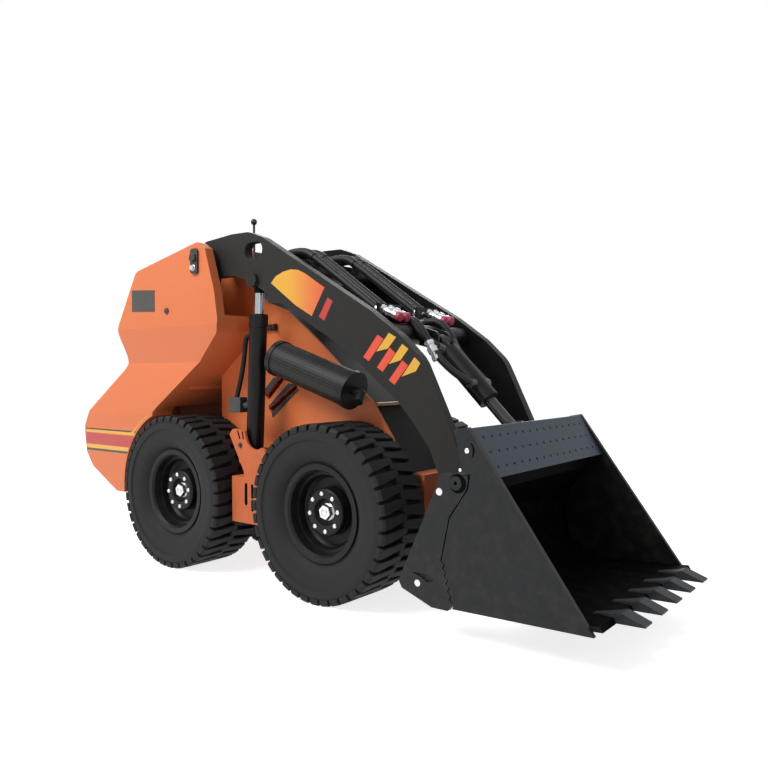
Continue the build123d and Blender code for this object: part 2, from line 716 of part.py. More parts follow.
hoses = [hose(y) for y in HOSES]
tubes = {"arm_cross_tube": cross_tube(), "arm_tilt_tube": tilt_tube()}
for name, tube in tubes.items():
    for piece in hoses:
        tube = tube - piece
    save(name, tube)
save("arm_hoses", Compound(hoses))
for side in SIDES:
    save(f"arm_{side}", to_side(arm(), side))


# Coupler: side plates and a shaft with ears for the tilt rod
def seam_teeth(shift):
    # Notched lower end of the seam between a coupler plate and the bucket's side, from the top down.
    run = Vector(*SEAM_FOOT) - Vector(*SEAM_TOP)
    corners = []
    for tooth in range(SEAM_TEETH):
        for share, depth in ((0, 0), (0.45, SEAM_DEPTH)):
            place = Vector(*SEAM_TOP) + run * ((tooth + share) / SEAM_TEETH)
            corners.append((place.X + depth + shift, place.Y))
    return corners


def coupler_plate():
    plate = slab(
        [(882, 437, 20), (896, 477, 12), (986, 472, 10), (979, 436, 30), (921, 354, 30), (906, 287)]
        + seam_teeth(0)
        + [(926, 104), (918, 92, 8), (863, 92), (758, 130, 10), (747, 150, 10)],
        BUCKET_INNER_Y,
        BUCKET_OUTER_Y,
    )
    return plate - slab(PLATE_SLOT, BUCKET_OUTER_Y - PLATE_SLOT_DEPTH, BUCKET_OUTER_Y + 1)


def coupler_shaft():
    x, z = BUCKET_PIVOT
    frame = pin(BUCKET_PIVOT, BUCKET_PIN_RADIUS, -BUCKET_INNER_Y, BUCKET_INNER_Y)
    ear = slab(
        [(x - 24, z), (TILT_EYE[0] - 26, TILT_EYE[1], 8), (TILT_EYE[0] - 20, TILT_EYE[1] + 26, 18),
         (TILT_EYE[0] + 20, TILT_EYE[1] + 26, 18), (TILT_EYE[0] + 30, TILT_EYE[1], 8), (x + 24, z)],
        *TILT_EAR_Y,
    )
    head = pin(TILT_EYE, TILT_PIN_RADIUS + 4, TILT_EAR_Y[1], TILT_EAR_Y[1] + 8)
    for side in SIDES:
        frame += to_side(ear, side)
        frame += to_side(head, side)
    return frame


for side in SIDES:
    save(f"coupler_plate_{side}", to_side(coupler_plate(), side))
save("coupler_shaft", coupler_shaft())


# Bucket
def bucket_side():
    return slab(
        [(940, 598, 6), (984, 606, 6), (1330, 122), (1340, 108), (932, 100)]
        + seam_teeth(SEAM_GAP)[::-1]
        + [(910, 286), (925, 352, 30), (984, 436, 30), (992, 478), (958, 484), (962, 507)],
        BUCKET_INNER_Y,
        BUCKET_OUTER_Y,
    )


def cross_plate():
    return block((BACK_X - CROSS_PLATE, BACK_X), (-BUCKET_INNER_Y, BUCKET_INNER_Y), CROSS_PLATE_Z)


def bucket_shell():
    back = [
        (962, 600), (968, 530), (1014, 490), (1014, 436), (BACK_X, 335), (BACK_X, BOTTOM_Z, BUCKET_CORNER_RADIUS),
        (EDGE_FRONT_X - 60, BOTTOM_Z + 14),
    ]
    inside = [
        (EDGE_FRONT_X - 60, BOTTOM_Z + 14 + SHELL),
        (BACK_X + SHELL, BOTTOM_Z + SHELL, BUCKET_CORNER_RADIUS - SHELL),
        (BACK_X + SHELL, 330), (1014 + SHELL, 431), (1014 + SHELL, 468), (GUARD_FOOT[0] - 10, GUARD_FOOT[1]),
        (GUARD_TOP[0] - 8, GUARD_TOP[1]),
    ]
    return slab(back + inside, -BUCKET_INNER_Y, BUCKET_INNER_Y) + cross_plate()


def bucket_guard():
    sheet = slab(
        [(GUARD_TOP[0] - 8, GUARD_TOP[1]), (GUARD_FOOT[0] - 10, GUARD_FOOT[1]), GUARD_FOOT, GUARD_TOP],
        -BUCKET_INNER_Y,
        BUCKET_INNER_Y,
    )
    down = Vector(GUARD_FOOT[0] - GUARD_TOP[0], 0, GUARD_FOOT[1] - GUARD_TOP[1])
    out = Vector(-down.Z, 0, down.X).normalized()
    holes = []
    for share in GUARD_ROWS:
        seat = Vector(GUARD_TOP[0], 0, GUARD_TOP[1]) + down * share
        for index in range(GUARD_HOLES):
            y = (index - (GUARD_HOLES - 1) / 2) * GUARD_PITCH
            start = seat + Vector(0, y, 0)
            holes.append(bar(start - out * GUARD_HOLE_DEPTH, start + out, GUARD_HOLE_RADIUS))
    return sheet - holes


def cutting_edge():
    rear_x = EDGE_FRONT_X - 60
    return slab(
        [(rear_x, BOTTOM_Z + 12), (EDGE_FRONT_X, BOTTOM_Z + 16), (EDGE_FRONT_X - 8, BOTTOM_Z + 30),
         (rear_x, BOTTOM_Z + 26)],
        -BUCKET_INNER_Y,
        BUCKET_INNER_Y,
    )


def bucket_tooth():
    half = TOOTH_WIDTH / 2
    return slab(
        [(EDGE_FRONT_X, BOTTOM_Z + 16), (TOOTH_TIP_X, BOTTOM_Z + 18), (TOOTH_TIP_X, BOTTOM_Z + 22),
         (EDGE_FRONT_X + 14, BOTTOM_Z + 44), (EDGE_FRONT_X - 8, BOTTOM_Z + 30)],
        -half,
        half,
    )


save("bucket_shell", bucket_shell())
for side in SIDES:
    save(f"bucket_side_{side}", to_side(bucket_side(), side))
save("bucket_guard", bucket_guard())
save("cutting_edge", cutting_edge())
middle = (TOOTH_COUNT - 1) / 2
save("bucket_teeth", Compound([
    Pos(0, (index - middle) * TOOTH_PITCH, 0) * bucket_tooth() for index in range(TOOTH_COUNT)
]))
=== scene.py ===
import math
import bpy
import bmesh
from mathutils import Matrix, Vector


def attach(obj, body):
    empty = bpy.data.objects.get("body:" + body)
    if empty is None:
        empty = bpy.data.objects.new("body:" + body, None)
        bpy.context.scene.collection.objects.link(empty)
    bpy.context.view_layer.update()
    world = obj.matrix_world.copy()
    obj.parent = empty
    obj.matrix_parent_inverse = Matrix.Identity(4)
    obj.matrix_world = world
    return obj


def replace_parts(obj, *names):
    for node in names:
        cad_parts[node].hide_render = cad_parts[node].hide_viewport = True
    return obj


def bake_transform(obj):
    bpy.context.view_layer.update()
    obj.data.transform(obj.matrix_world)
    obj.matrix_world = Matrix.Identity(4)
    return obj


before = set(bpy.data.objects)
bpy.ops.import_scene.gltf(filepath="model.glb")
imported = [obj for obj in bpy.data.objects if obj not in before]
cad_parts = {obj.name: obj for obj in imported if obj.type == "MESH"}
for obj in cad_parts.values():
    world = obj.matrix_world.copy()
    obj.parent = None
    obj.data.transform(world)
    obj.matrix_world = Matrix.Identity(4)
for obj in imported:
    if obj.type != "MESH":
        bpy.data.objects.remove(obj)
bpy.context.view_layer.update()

# places below are in mm as measured on the machine: x forward from mid wheelbase, y left, z up
machine = {"midX": 218.0, "axleX": 385.5, "axleZ": 295, "wheelY": 250,
           "sides": {"right": -1, "left": 1}, "ends": {"front": 1, "rear": -1}}


def spot(x, y, z):
    return Vector(((x - machine["midX"]) / 1000, y / 1000, z / 1000))


def sideSpot(sign, place):
    x, y, z = place
    return spot(x, sign * y, z)


def wheels():
    for end, endSign in machine["ends"].items():
        for side, sign in machine["sides"].items():
            yield f"{end}_{side}", endSign * machine["axleX"], sign


def angles(count):
    return [2 * math.pi * index / count for index in range(count)]


def opaque(colour):
    return (*colour, 1)


# small pen for node trees
class NodePen:
    def __init__(self, tree):
        self.tree = tree

    def add(self, kind, **settings):
        node = self.tree.nodes.new(kind)
        for key, value in settings.items():
            setattr(node, key, value)
        return node

    def feed(self, node, **values):  # s0, s1 and so on name a socket by number, other keys by label
        for key, value in values.items():
            socket = node.inputs[int(key[1:]) if key[1:].isdigit() else key.replace("_", " ")]
            if isinstance(value, bpy.types.NodeSocket):
                self.tree.links.new(value, socket)
            else:
                socket.default_value = value
        return node

    def math(self, operation, a, b=0.0, clamp=False):
        node = self.add("ShaderNodeMath", operation=operation, use_clamp=clamp)
        return self.feed(node, s0=a, s1=b).outputs[0]

    def span(self, value, low, high, toLow=0.0, toHigh=1.0):
        node = self.add("ShaderNodeMapRange", interpolation_type="SMOOTHSTEP")
        return self.feed(node, s0=value, s1=low, s2=high, s3=toLow, s4=toHigh).outputs[0]

    def noise(self, vector, scale, detail=3.0, roughness=0.55):
        node = self.add("ShaderNodeTexNoise")
        return self.feed(node, Vector=vector, Scale=scale, Detail=detail, Roughness=roughness).outputs["Fac"]

    def mix(self, factor, a, b):
        node = self.add("ShaderNodeMix", data_type="RGBA")
        return self.feed(node, s0=factor, s6=a, s7=b).outputs[2]

    def dot(self, a, b):
        node = self.add("ShaderNodeVectorMath", operation="DOT_PRODUCT")
        return self.feed(node, s0=a, s1=b).outputs["Value"]

    def axis(self, vector, name):
        return self.feed(self.add("ShaderNodeSeparateXYZ"), Vector=vector).outputs[name]

    def offCentre(self, value):  # how far a value is from the middle of its cell
        return self.math("SUBTRACT", self.math("FRACT", value), 0.5)

    def objectPlace(self):
        return self.add("ShaderNodeTexCoord").outputs["Object"]


def newGroup(name, inputs, outputs):
    group = bpy.data.node_groups.new(name, "ShaderNodeTree")
    for label, kind in inputs:
        group.interface.new_socket(label, in_out="INPUT", socket_type=kind)
    for label, kind in outputs:
        group.interface.new_socket(label, in_out="OUTPUT", socket_type=kind)
    pen = NodePen(group)
    return group, pen, pen.add("NodeGroupInput").outputs, pen.add("NodeGroupOutput")


# weathered coat: slow tone drift, dust that gathers low down, edges rubbed bare
wear = {"slow": (3.2, 4.0), "cloud": (24.0, 6.0, 0.66), "speck": (260.0, 2.0), "peel": (520.0, 1.0),  # noise settings
        "dustFrom": (0.42, 0.72), "dustHeight": (0.05, 0.75, 1.0, 0.3), "dustDulls": 0.3, "cloudDulls": 0.14,
        "edgeRadius": 0.0035, "edgeSamples": 4, "edgeTurn": (0.985, 0.80), "rubFrom": (0.40, 0.62),
        "speckShare": 0.5}


def makeWeathering(spec):
    group, pen, given, out = newGroup(
        "weathering",
        [("Paint", "NodeSocketColor"), ("Dust", "NodeSocketColor"), ("Bare", "NodeSocketColor"),
         ("Dust Amount", "NodeSocketFloat"), ("Drift", "NodeSocketFloat"), ("Rub", "NodeSocketFloat"),
         ("Roughness", "NodeSocketFloat")],
        [("Color", "NodeSocketColor"), ("Roughness", "NodeSocketFloat"), ("Height", "NodeSocketFloat")])
    place = pen.objectPlace()
    slow, cloud, speck, peel = (pen.noise(place, *spec[key]) for key in ("slow", "cloud", "speck", "peel"))
    low = pen.span(pen.axis(place, "Z"), *spec["dustHeight"])
    dust = pen.math("MULTIPLY", pen.span(cloud, *spec["dustFrom"]), low)
    dust = pen.math("MULTIPLY", dust, given["Dust Amount"])
    drift = pen.math("MULTIPLY", pen.math("SUBTRACT", slow, 0.5), given["Drift"])
    toned = pen.add("ShaderNodeHueSaturation")
    pen.feed(toned, Color=given["Paint"], Value=pen.math("ADD", 1.0, drift))
    dusty = pen.mix(dust, toned.outputs[0], given["Dust"])
    bevel = pen.add("ShaderNodeBevel", samples=spec["edgeSamples"])
    pen.feed(bevel, Radius=spec["edgeRadius"])
    normal = pen.add("ShaderNodeNewGeometry").outputs["Normal"]
    edge = pen.span(pen.dot(bevel.outputs[0], normal), *spec["edgeTurn"])
    rubbed = pen.math("MULTIPLY", edge, pen.span(cloud, *spec["rubFrom"]))
    rubbed = pen.math("MULTIPLY", rubbed, given["Rub"])
    pen.feed(out, Color=pen.mix(rubbed, dusty, given["Bare"]))
    rough = pen.math("ADD", given["Roughness"], pen.math("MULTIPLY", dust, spec["dustDulls"]))
    patchy = pen.math("MULTIPLY", pen.math("SUBTRACT", cloud, 0.5), spec["cloudDulls"])
    pen.feed(out, Roughness=pen.math("ADD", rough, patchy, clamp=True))
    pen.feed(out, Height=pen.math("ADD", pen.math("MULTIPLY", speck, spec["speckShare"]), peel))
    return group


weathering = makeWeathering(wear)
print("node groups ready")


# a second colour: near the middle plane (painted shade on faces turned to the middle), above a height (the dark rod
# eye), on faces turned one way (painted shade in the bucket), or fading in towards the front (the badge print)
def paintOf(pen, spec):
    paint = opaque(spec["paint"])
    if "inner" in spec:
        limit, shade = spec["inner"]
        share = pen.math("LESS_THAN", pen.math("ABSOLUTE", pen.axis(pen.objectPlace(), "Y")), limit)
    elif "above" in spec:
        limit, shade = spec["above"]
        share = pen.math("GREATER_THAN", pen.axis(pen.objectPlace(), "Z"), limit)
    elif "facingShade" in spec:
        direction, shade = spec["facingShade"]
        normal = pen.add("ShaderNodeTexCoord").outputs["Normal"]
        share = pen.math("GREATER_THAN", pen.dot(normal, direction), 0.05)  # level faces keep the first shade
    elif "fade" in spec:
        (rear, front), shade = spec["fade"]
        share = pen.span(pen.axis(pen.objectPlace(), "X"), rear, front)
    else:
        return paint
    return pen.mix(share, paint, opaque(shade))


# what a finish has where it says nothing else
plainCoat = {"dust": (0.32, 0.27, 0.22), "bare": (0.42, 0.41, 0.40), "dustAmount": 0.12, "drift": 0.16, "rub": 0.0,
             "bump": 0.12, "depth": 0.0006, "metallic": 0.0, "coat": 0.0, "coatRoughness": 0.15, "specular": 0.5}


def coatMaterial(name, spec):
    spec = plainCoat | spec
    material = bpy.data.materials.new(name)
    material.use_nodes = True
    pen = NodePen(material.node_tree)
    shader = material.node_tree.nodes["Principled BSDF"]
    worn = pen.add("ShaderNodeGroup", node_tree=weathering)
    pen.feed(worn, Paint=paintOf(pen, spec), Dust=opaque(spec["dust"]), Bare=opaque(spec["bare"]),
             Dust_Amount=spec["dustAmount"], Drift=spec["drift"], Rub=spec["rub"], Roughness=spec["roughness"])
    bump = pen.add("ShaderNodeBump")
    pen.feed(bump, Strength=spec["bump"], Distance=spec["depth"], Height=worn.outputs["Height"])
    pen.feed(shader, Base_Color=worn.outputs["Color"], Roughness=worn.outputs["Roughness"], Normal=bump.outputs[0])
    shader.inputs["Metallic"].default_value = spec["metallic"]
    shader.inputs["Coat Weight"].default_value = spec["coat"]
    shader.inputs["Coat Roughness"].default_value = spec["coatRoughness"]
    shader.inputs["Specular IOR Level"].default_value = spec["specular"]
    return material


panelCoat = {"roughness": 0.46, "coat": 0.1, "coatRoughness": 0.35, "dustAmount": 0.10, "drift": 0.10, "rub": 0.25,
             "bare": (0.88, 0.40, 0.20), "bump": 0.08, "specular": 0.35}
printCoat = {"roughness": 0.34, "coat": 0.3, "dustAmount": 0.05, "bump": 0.04}
finishes = {
    "orangePaint": {"paint": (0.725, 0.190, 0.068), **panelCoat},
    # a lighter copy of the orange paint for the side walls: painted light
    "orangeLitWall": {"paint": (0.92, 0.232, 0.074), **panelCoat},
    # a darker copy of the orange paint for the frame and lift brackets between the tyres: painted shade; its heavier
    # dark dust is partly dust and partly painted shade
    "orangeShadedPaint": {"paint": (0.62, 0.150, 0.052), "roughness": 0.52, "dustAmount": 0.14, "drift": 0.14, "rub": 0.3,
                    "dust": (0.16, 0.11, 0.08), "bare": (0.70, 0.28, 0.13), "bump": 0.1, "specular": 0.3},
    # arm paint: faces nearer the middle than the limit take near-black painted shade
    "armBlack": {"paint": (0.026, 0.0252, 0.0238), "roughness": 0.48, "dustAmount": 0.03, "rub": 0.3,
                 "bare": (0.09, 0.086, 0.082), "bump": 0.16, "specular": 0.12,
                 "inner": (0.2352, (0.0012, 0.0012, 0.0012))},
    "hoodGloss": {"paint": (0.006, 0.007, 0.008), "roughness": 0.36, "dustAmount": 0.04, "rub": 0.2,
                  "bare": (0.06, 0.06, 0.065), "bump": 0.05, "specular": 0.2},
    # bucket sides and coupler plates: faces nearer the middle than the limit take near-black painted shade
    "bucketCharcoal": {"paint": (0.0125, 0.0137, 0.0150), "roughness": 0.48, "dustAmount": 0.05, "rub": 0.45,
                       "bare": (0.12, 0.12, 0.125), "bump": 0.2, "drift": 0.3, "specular": 0.24,
                       "inner": (0.3648, (0.001, 0.001, 0.0012))},
    # bucket shell: faces turned forward and up into the bucket take near-black painted shade
    "bucketShell": {"paint": (0.019, 0.020, 0.0215), "roughness": 0.6, "dustAmount": 0.02, "rub": 0.3,
                    "bare": (0.06, 0.06, 0.063), "bump": 0.2, "drift": 0.3, "specular": 0.02,
                    "facingShade": ((0.9, 0, 0.44), (0.0010, 0.0010, 0.0012))},
    # near-black painted shadow for the strips behind the bucket's seams
    "seamShadowBlack": {"paint": (0.0010, 0.0010, 0.0012), "roughness": 0.7, "dustAmount": 0.01, "rub": 0.3,
                     "bare": (0.06, 0.06, 0.063), "bump": 0.2, "drift": 0.3, "specular": 0.015},
    "guardGrey": {"paint": (0.030, 0.050, 0.072), "roughness": 0.5, "dustAmount": 0.05, "rub": 0.4,
                  "bare": (0.16, 0.165, 0.175), "bump": 0.12, "specular": 0.3},
    "toothSteel": {"paint": (0.020, 0.023, 0.029), "roughness": 0.5, "dustAmount": 0.05, "rub": 0.7,
                   "bare": (0.12, 0.125, 0.135), "bump": 0.25, "specular": 0.2},
    "rimDark": {"paint": (0.0055, 0.0055, 0.0065), "roughness": 0.46, "dustAmount": 0.03, "rub": 0.12,
                "bare": (0.05, 0.05, 0.055), "bump": 0.1, "specular": 0.22},
    "tyreRubber": {"paint": (0.012, 0.0125, 0.0135), "roughness": 0.70, "dustAmount": 0.10, "drift": 0.2,
                   "dust": (0.065, 0.063, 0.062), "bump": 0.35, "depth": 0.001, "specular": 0.28},
    "hoseRubber": {"paint": (0.006, 0.006, 0.007), "roughness": 0.5, "dustAmount": 0.05, "bump": 0.3,
                   "specular": 0.3},
    "coverSatin": {"paint": (0.012, 0.0115, 0.011), "roughness": 0.58, "dustAmount": 0.10, "drift": 0.3,
                   "dust": (0.10, 0.075, 0.06), "bump": 0.08, "specular": 0.18},
    "rodDark": {"paint": (0.050, 0.050, 0.053), "roughness": 0.3, "metallic": 0.6, "dustAmount": 0.04, "bump": 0.04},
    "barrelGrey": {"paint": (0.005, 0.0046, 0.0045), "roughness": 0.40, "dustAmount": 0.04, "rub": 0.3,
                   "bare": (0.08, 0.08, 0.08), "bump": 0.1, "specular": 0.2},
    "motorGrey": {"paint": (0.03, 0.03, 0.032), "roughness": 0.5, "dustAmount": 0.2, "bump": 0.2},
    "rodChrome": {"paint": (0.42, 0.43, 0.45), "roughness": 0.20, "metallic": 1.0, "dustAmount": 0.03, "drift": 0.06,
                  "bump": 0.03, "above": (1.044, (0.008, 0.008, 0.008))},
    "boltSteel": {"paint": (0.66, 0.66, 0.67), "roughness": 0.3, "metallic": 1.0, "dustAmount": 0.08, "bump": 0.12},
    "couplerSilver": {"paint": (0.56, 0.56, 0.60), "roughness": 0.3, "metallic": 0.9, "dustAmount": 0.06,
                      "bump": 0.1},
    "capRed": {"paint": (0.45, 0.035, 0.09), "roughness": 0.45, "dustAmount": 0.06, "bump": 0.1},
    "pinBlack": {"paint": (0.02, 0.02, 0.021), "roughness": 0.34, "rub": 0.5, "bump": 0.1},
    "engineIron": {"paint": (0.05, 0.05, 0.052), "roughness": 0.6, "dustAmount": 0.3, "bump": 0.5, "depth": 0.001},
    "gripBlack": {"paint": (0.014, 0.014, 0.015), "roughness": 0.48, "dustAmount": 0.05, "bump": 0.25},
    "stripeRed": {"paint": (0.80, 0.075, 0.030), **printCoat},
    "bandRed": {"paint": (0.50, 0.035, 0.028), **printCoat},
    "stripeYellow": {"paint": (0.80, 0.42, 0.035), **printCoat},
    "stripeBlack": {"paint": (0.012, 0.012, 0.012), **printCoat},
    "badgeFade": {"paint": (0.80, 0.40, 0.03), **printCoat, "fade": ((-0.06, 0.16), (0.72, 0.10, 0.04))},
    "plateBare": {"paint": (0.075, 0.07, 0.066), "roughness": 0.4, "metallic": 0.4, "dustAmount": 0.1, "bump": 0.1},
    "lipGold": {"paint": (0.42, 0.19, 0.025), "roughness": 0.4, "dustAmount": 0.05, "bump": 0.05},
    # near-black painted shade for flat patches standing in for slots, a pin's hollow and a notch
    "slotShadowBlack": {"paint": (0.0015, 0.0015, 0.0015), "roughness": 0.8, "dustAmount": 0.01, "bump": 0.1,
                 "specular": 0.05},
    "shieldPunched": {"paint": (0.009, 0.0095, 0.009), "roughness": 0.46, "dustAmount": 0.04, "rub": 0.3,
                      "bare": (0.12, 0.12, 0.12), "specular": 0.2},
    "treadPlate": {"paint": (0.03, 0.03, 0.031), "roughness": 0.5, "dustAmount": 0.3, "rub": 0.5,
                   "bare": (0.2, 0.2, 0.2)},
}
materials = {name: coatMaterial(name, spec) for name, spec in finishes.items()}
print("finishes ready", len(materials))


# lays one more bump over what already feeds a shader's normal
def addBump(pen, shader, strength, distance, height):
    below = shader.inputs["Normal"].links[0].from_socket
    bump = pen.add("ShaderNodeBump")
    pen.feed(bump, Strength=strength, Distance=distance, Height=height, Normal=below)
    pen.feed(shader, Normal=bump.outputs[0])


# muffler shield: rows of small punched dots wrapped round it
muffler = {"rear": (80, -212, 808.5), "front": (440, -212, 693), "radius": 0.063, "shield": (0.03, 0.345),
           "pitch": 0.0105, "dot": 0.24, "dotColour": (0.038, 0.040, 0.036), "sunk": (0.6, 0.0015)}


def makePunching(spec):
    group, pen, given, out = newGroup(
        "punchedRows", [("Pitch", "NodeSocketFloat"), ("Dot", "NodeSocketFloat")], [("Holes", "NodeSocketFloat")])
    start = spot(*spec["rear"])
    run = (spot(*spec["front"]) - start).normalized()
    sideways = Vector((0, 1, 0))
    moved = pen.add("ShaderNodeVectorMath", operation="SUBTRACT")
    pen.feed(moved, s0=pen.objectPlace(), s1=start)
    along, across, up = (pen.dot(moved.outputs[0], way) for way in (run, sideways, run.cross(sideways)))
    around = pen.math("MULTIPLY", pen.math("ARCTAN2", across, up), spec["radius"])
    rows = pen.math("DIVIDE", around, given["Pitch"])
    stagger = pen.math("MULTIPLY", pen.math("MODULO", pen.math("FLOOR", rows), 2.0), 0.5)
    columns = pen.math("ADD", pen.math("DIVIDE", along, given["Pitch"]), stagger)
    squares = (pen.math("MULTIPLY", off, off) for off in (pen.offCentre(columns), pen.offCentre(rows)))
    reach = pen.math("SQRT", pen.math("ADD", *squares))
    dots = pen.math("SUBTRACT", 1.0, pen.math("GREATER_THAN", reach, given["Dot"]))
    first, last = spec["shield"]
    onShield = pen.math("MULTIPLY", pen.math("GREATER_THAN", along, first), pen.math("LESS_THAN", along, last))
    pen.feed(out, Holes=pen.math("MULTIPLY", dots, onShield))
    return group


def punchShield(material, spec):
    pen = NodePen(material.node_tree)
    shader = material.node_tree.nodes["Principled BSDF"]
    punched = pen.add("ShaderNodeGroup", node_tree=makePunching(spec))
    holes = pen.feed(punched, Pitch=spec["pitch"], Dot=spec["dot"]).outputs["Holes"]
    coat = shader.inputs["Base Color"].links[0].from_socket
    pen.feed(shader, Base_Color=pen.mix(holes, coat, opaque(spec["dotColour"])))
    strength, depth = spec["sunk"]
    addBump(pen, shader, strength, depth, pen.math("SUBTRACT", 1.0, holes))


# tread plate: crossed bars pressed into the platform
treadBars = {"pitch": 0.03, "length": (0.42, 0.3), "width": (0.14, 0.06), "pressed": (0.7, 0.002)}


def pressBars(material, spec):
    pen = NodePen(material.node_tree)
    place = pen.objectPlace()
    ridges = []
    for first, second in (("X", "Y"), ("Y", "X")):
        u, v = (pen.math("DIVIDE", pen.axis(place, name), spec["pitch"]) for name in (first, second))
        offU = pen.math("ABSOLUTE", pen.offCentre(u))
        offV = pen.math("ABSOLUTE", pen.offCentre(pen.math("ADD", v, 0.5)))
        ridges.append(pen.math("MULTIPLY", pen.span(offU, *spec["length"]), pen.span(offV, *spec["width"])))
    strength, depth = spec["pressed"]
    addBump(pen, material.node_tree.nodes["Principled BSDF"], strength, depth, pen.math("MAXIMUM", *ridges))


punchShield(materials["shieldPunched"], muffler)
pressBars(materials["treadPlate"], treadBars)
print("shield punched, tread plate pressed")


# mesh pen: gathers turned, boxed and lofted forms into one mesh
boltHead = {"washerSide": 0.0018, "washerTop": 0.0025, "washerLip": 0.001, "washerSides": 28, "hexFoot": 0.002,
            "chamferFrom": 0.8, "chamferTo": 0.9, "domeSide": 0.35, "domeTurns": (0.4, 0.8, 1.15, 1.4)}


class MeshPen:
    def __init__(self):
        self.points, self.faces = [], []

    def grid(self, rings, capped=True):
        base = len(self.points)
        count = len(rings[0])
        for ring in rings:
            self.points += [tuple(point) for point in ring]
        for step in range(len(rings) - 1):
            a, b = base + step * count, base + (step + 1) * count
            for index in range(count):
                after = (index + 1) % count
                self.faces.append((a + index, a + after, b + after, b + index))
        if capped:
            last = base + (len(rings) - 1) * count
            self.faces.append(tuple(base + index for index in reversed(range(count))))
            self.faces.append(tuple(last + index for index in range(count)))

    def turn(self, origin, axis, profile, segments=32):
        axis = Vector(axis).normalized()
        first = axis.orthogonal().normalized()
        second = axis.cross(first)
        outs = [first * math.cos(angle) + second * math.sin(angle) for angle in angles(segments)]
        self.grid([[Vector(origin) + axis * along + out * radius for out in outs] for radius, along in profile])

    def hexHead(self, origin, axis, flats, height, washer=0.0):
        corner = flats / 2 / math.cos(math.pi / 6)
        if washer:
            self.turn(origin, axis, [(washer, 0), (washer, boltHead["washerSide"]),
                                     (washer - boltHead["washerLip"], boltHead["washerTop"])], boltHead["washerSides"])
        foot = boltHead["hexFoot"] if washer else 0
        self.turn(origin, axis, [(corner, foot), (corner, height * boltHead["chamferFrom"]),
                                 (corner * boltHead["chamferTo"], height)], 6)

    def domeHead(self, origin, axis, radius, height, segments=20):
        low = boltHead["domeSide"]
        profile = [(radius, 0), (radius, height * low)]
        profile += [(radius * math.cos(a), height * (low + (1 - low) * math.sin(a))) for a in boltHead["domeTurns"]]
        self.turn(origin, axis, profile, segments)

    def slab(self, corners, yLow, yHigh):
        self.grid([[spot(x, yLow, z) for x, z in corners], [spot(x, yHigh, z) for x, z in corners]])

    def box(self, low, high):
        corners = ((low.x, low.y), (high.x, low.y), (high.x, high.y), (low.x, high.y))
        self.grid([[(x, y, z) for x, y in corners] for z in (low.z, high.z)])

    def tube(self, path, radius, segments=14):
        rings = []
        side = None
        for index, point in enumerate(path):
            before, after = path[max(index - 1, 0)], path[min(index + 1, len(path) - 1)]
            run = (after - before).normalized()
            side = run.orthogonal() if side is None else side - run * side.dot(run)
            side.normalize()
            up = run.cross(side)
            rings.append([point + (side * math.cos(a) + up * math.sin(a)) * radius for a in angles(segments)])
        self.grid(rings)

    def place(self, name, material, body, slot, sharpAngle=35, bevel=0.0):
        mesh = bpy.data.meshes.new(name)
        mesh.from_pydata(self.points, [], self.faces)
        work = bmesh.new()
        work.from_mesh(mesh)
        bmesh.ops.recalc_face_normals(work, faces=work.faces)
        work.to_mesh(mesh)
        work.free()
        for polygon in mesh.polygons:
            polygon.use_smooth = True
        mesh.set_sharp_from_angle(angle=math.radians(sharpAngle))
        mesh.materials.append(materials[material])
        piece = bpy.data.objects.new(name, mesh)
        bpy.context.scene.collection.objects.link(piece)
        if bevel:
            rounder = piece.modifiers.new("edges", "BEVEL")
            rounder.width, rounder.segments, rounder.limit_method = bevel, 2, "ANGLE"
        if body:
            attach(piece, body)
        return piece


def smoothPath(points, order=3, steps=10):
    curve = bpy.data.curves.new("route", "CURVE")
    curve.dimensions = "3D"
    spline = curve.splines.new("NURBS")
    spline.points.add(len(points) - 1)
    for target, point in zip(spline.points, points):
        target.co = (*point, 1)
    spline.order_u, spline.use_endpoint_u, spline.resolution_u = order, True, steps
    holder = bpy.data.objects.new("route", curve)
    mesh = bpy.data.meshes.new_from_object(holder)
    path = [vertex.co.copy() for vertex in mesh.vertices]
    bpy.data.objects.remove(holder)
    bpy.data.curves.remove(curve)
    bpy.data.meshes.remove(mesh)
    return path


# tyres: worn carcass with two staggered rows of slanted bars
tyre = {"base": 0.279, "lugs": 40, "segments": 160, "sharpAngle": 32, "root": 0.006, "shoulder": 0.003, "lip": 0.0022,
        "profile": [(0.1502, 0.0718), (0.166, 0.0718), (0.171, 0.0765), (0.182, 0.0905), (0.200, 0.0985),
                    (0.222, 0.1025), (0.2405, 0.1035), (0.2425, 0.1045), (0.2435, 0.1072), (0.2455, 0.1080),
                    (0.262, 0.1080), (0.272, 0.1060), (0.279, 0.0985), (0.279, 0.05), (0.279, 0.0)],
        # y, shift and half width in pitches, top radius
        "bar": [(0.1080, 0.00, 0.38, 0.2860), (0.1020, 0.00, 0.38, 0.2945), (0.066, -0.07, 0.37, 0.2950),
                (0.060, -0.09, 0.33, 0.2950), (0.008, -0.24, 0.30, 0.2950), (-0.010, -0.30, 0.24, 0.2950)]}


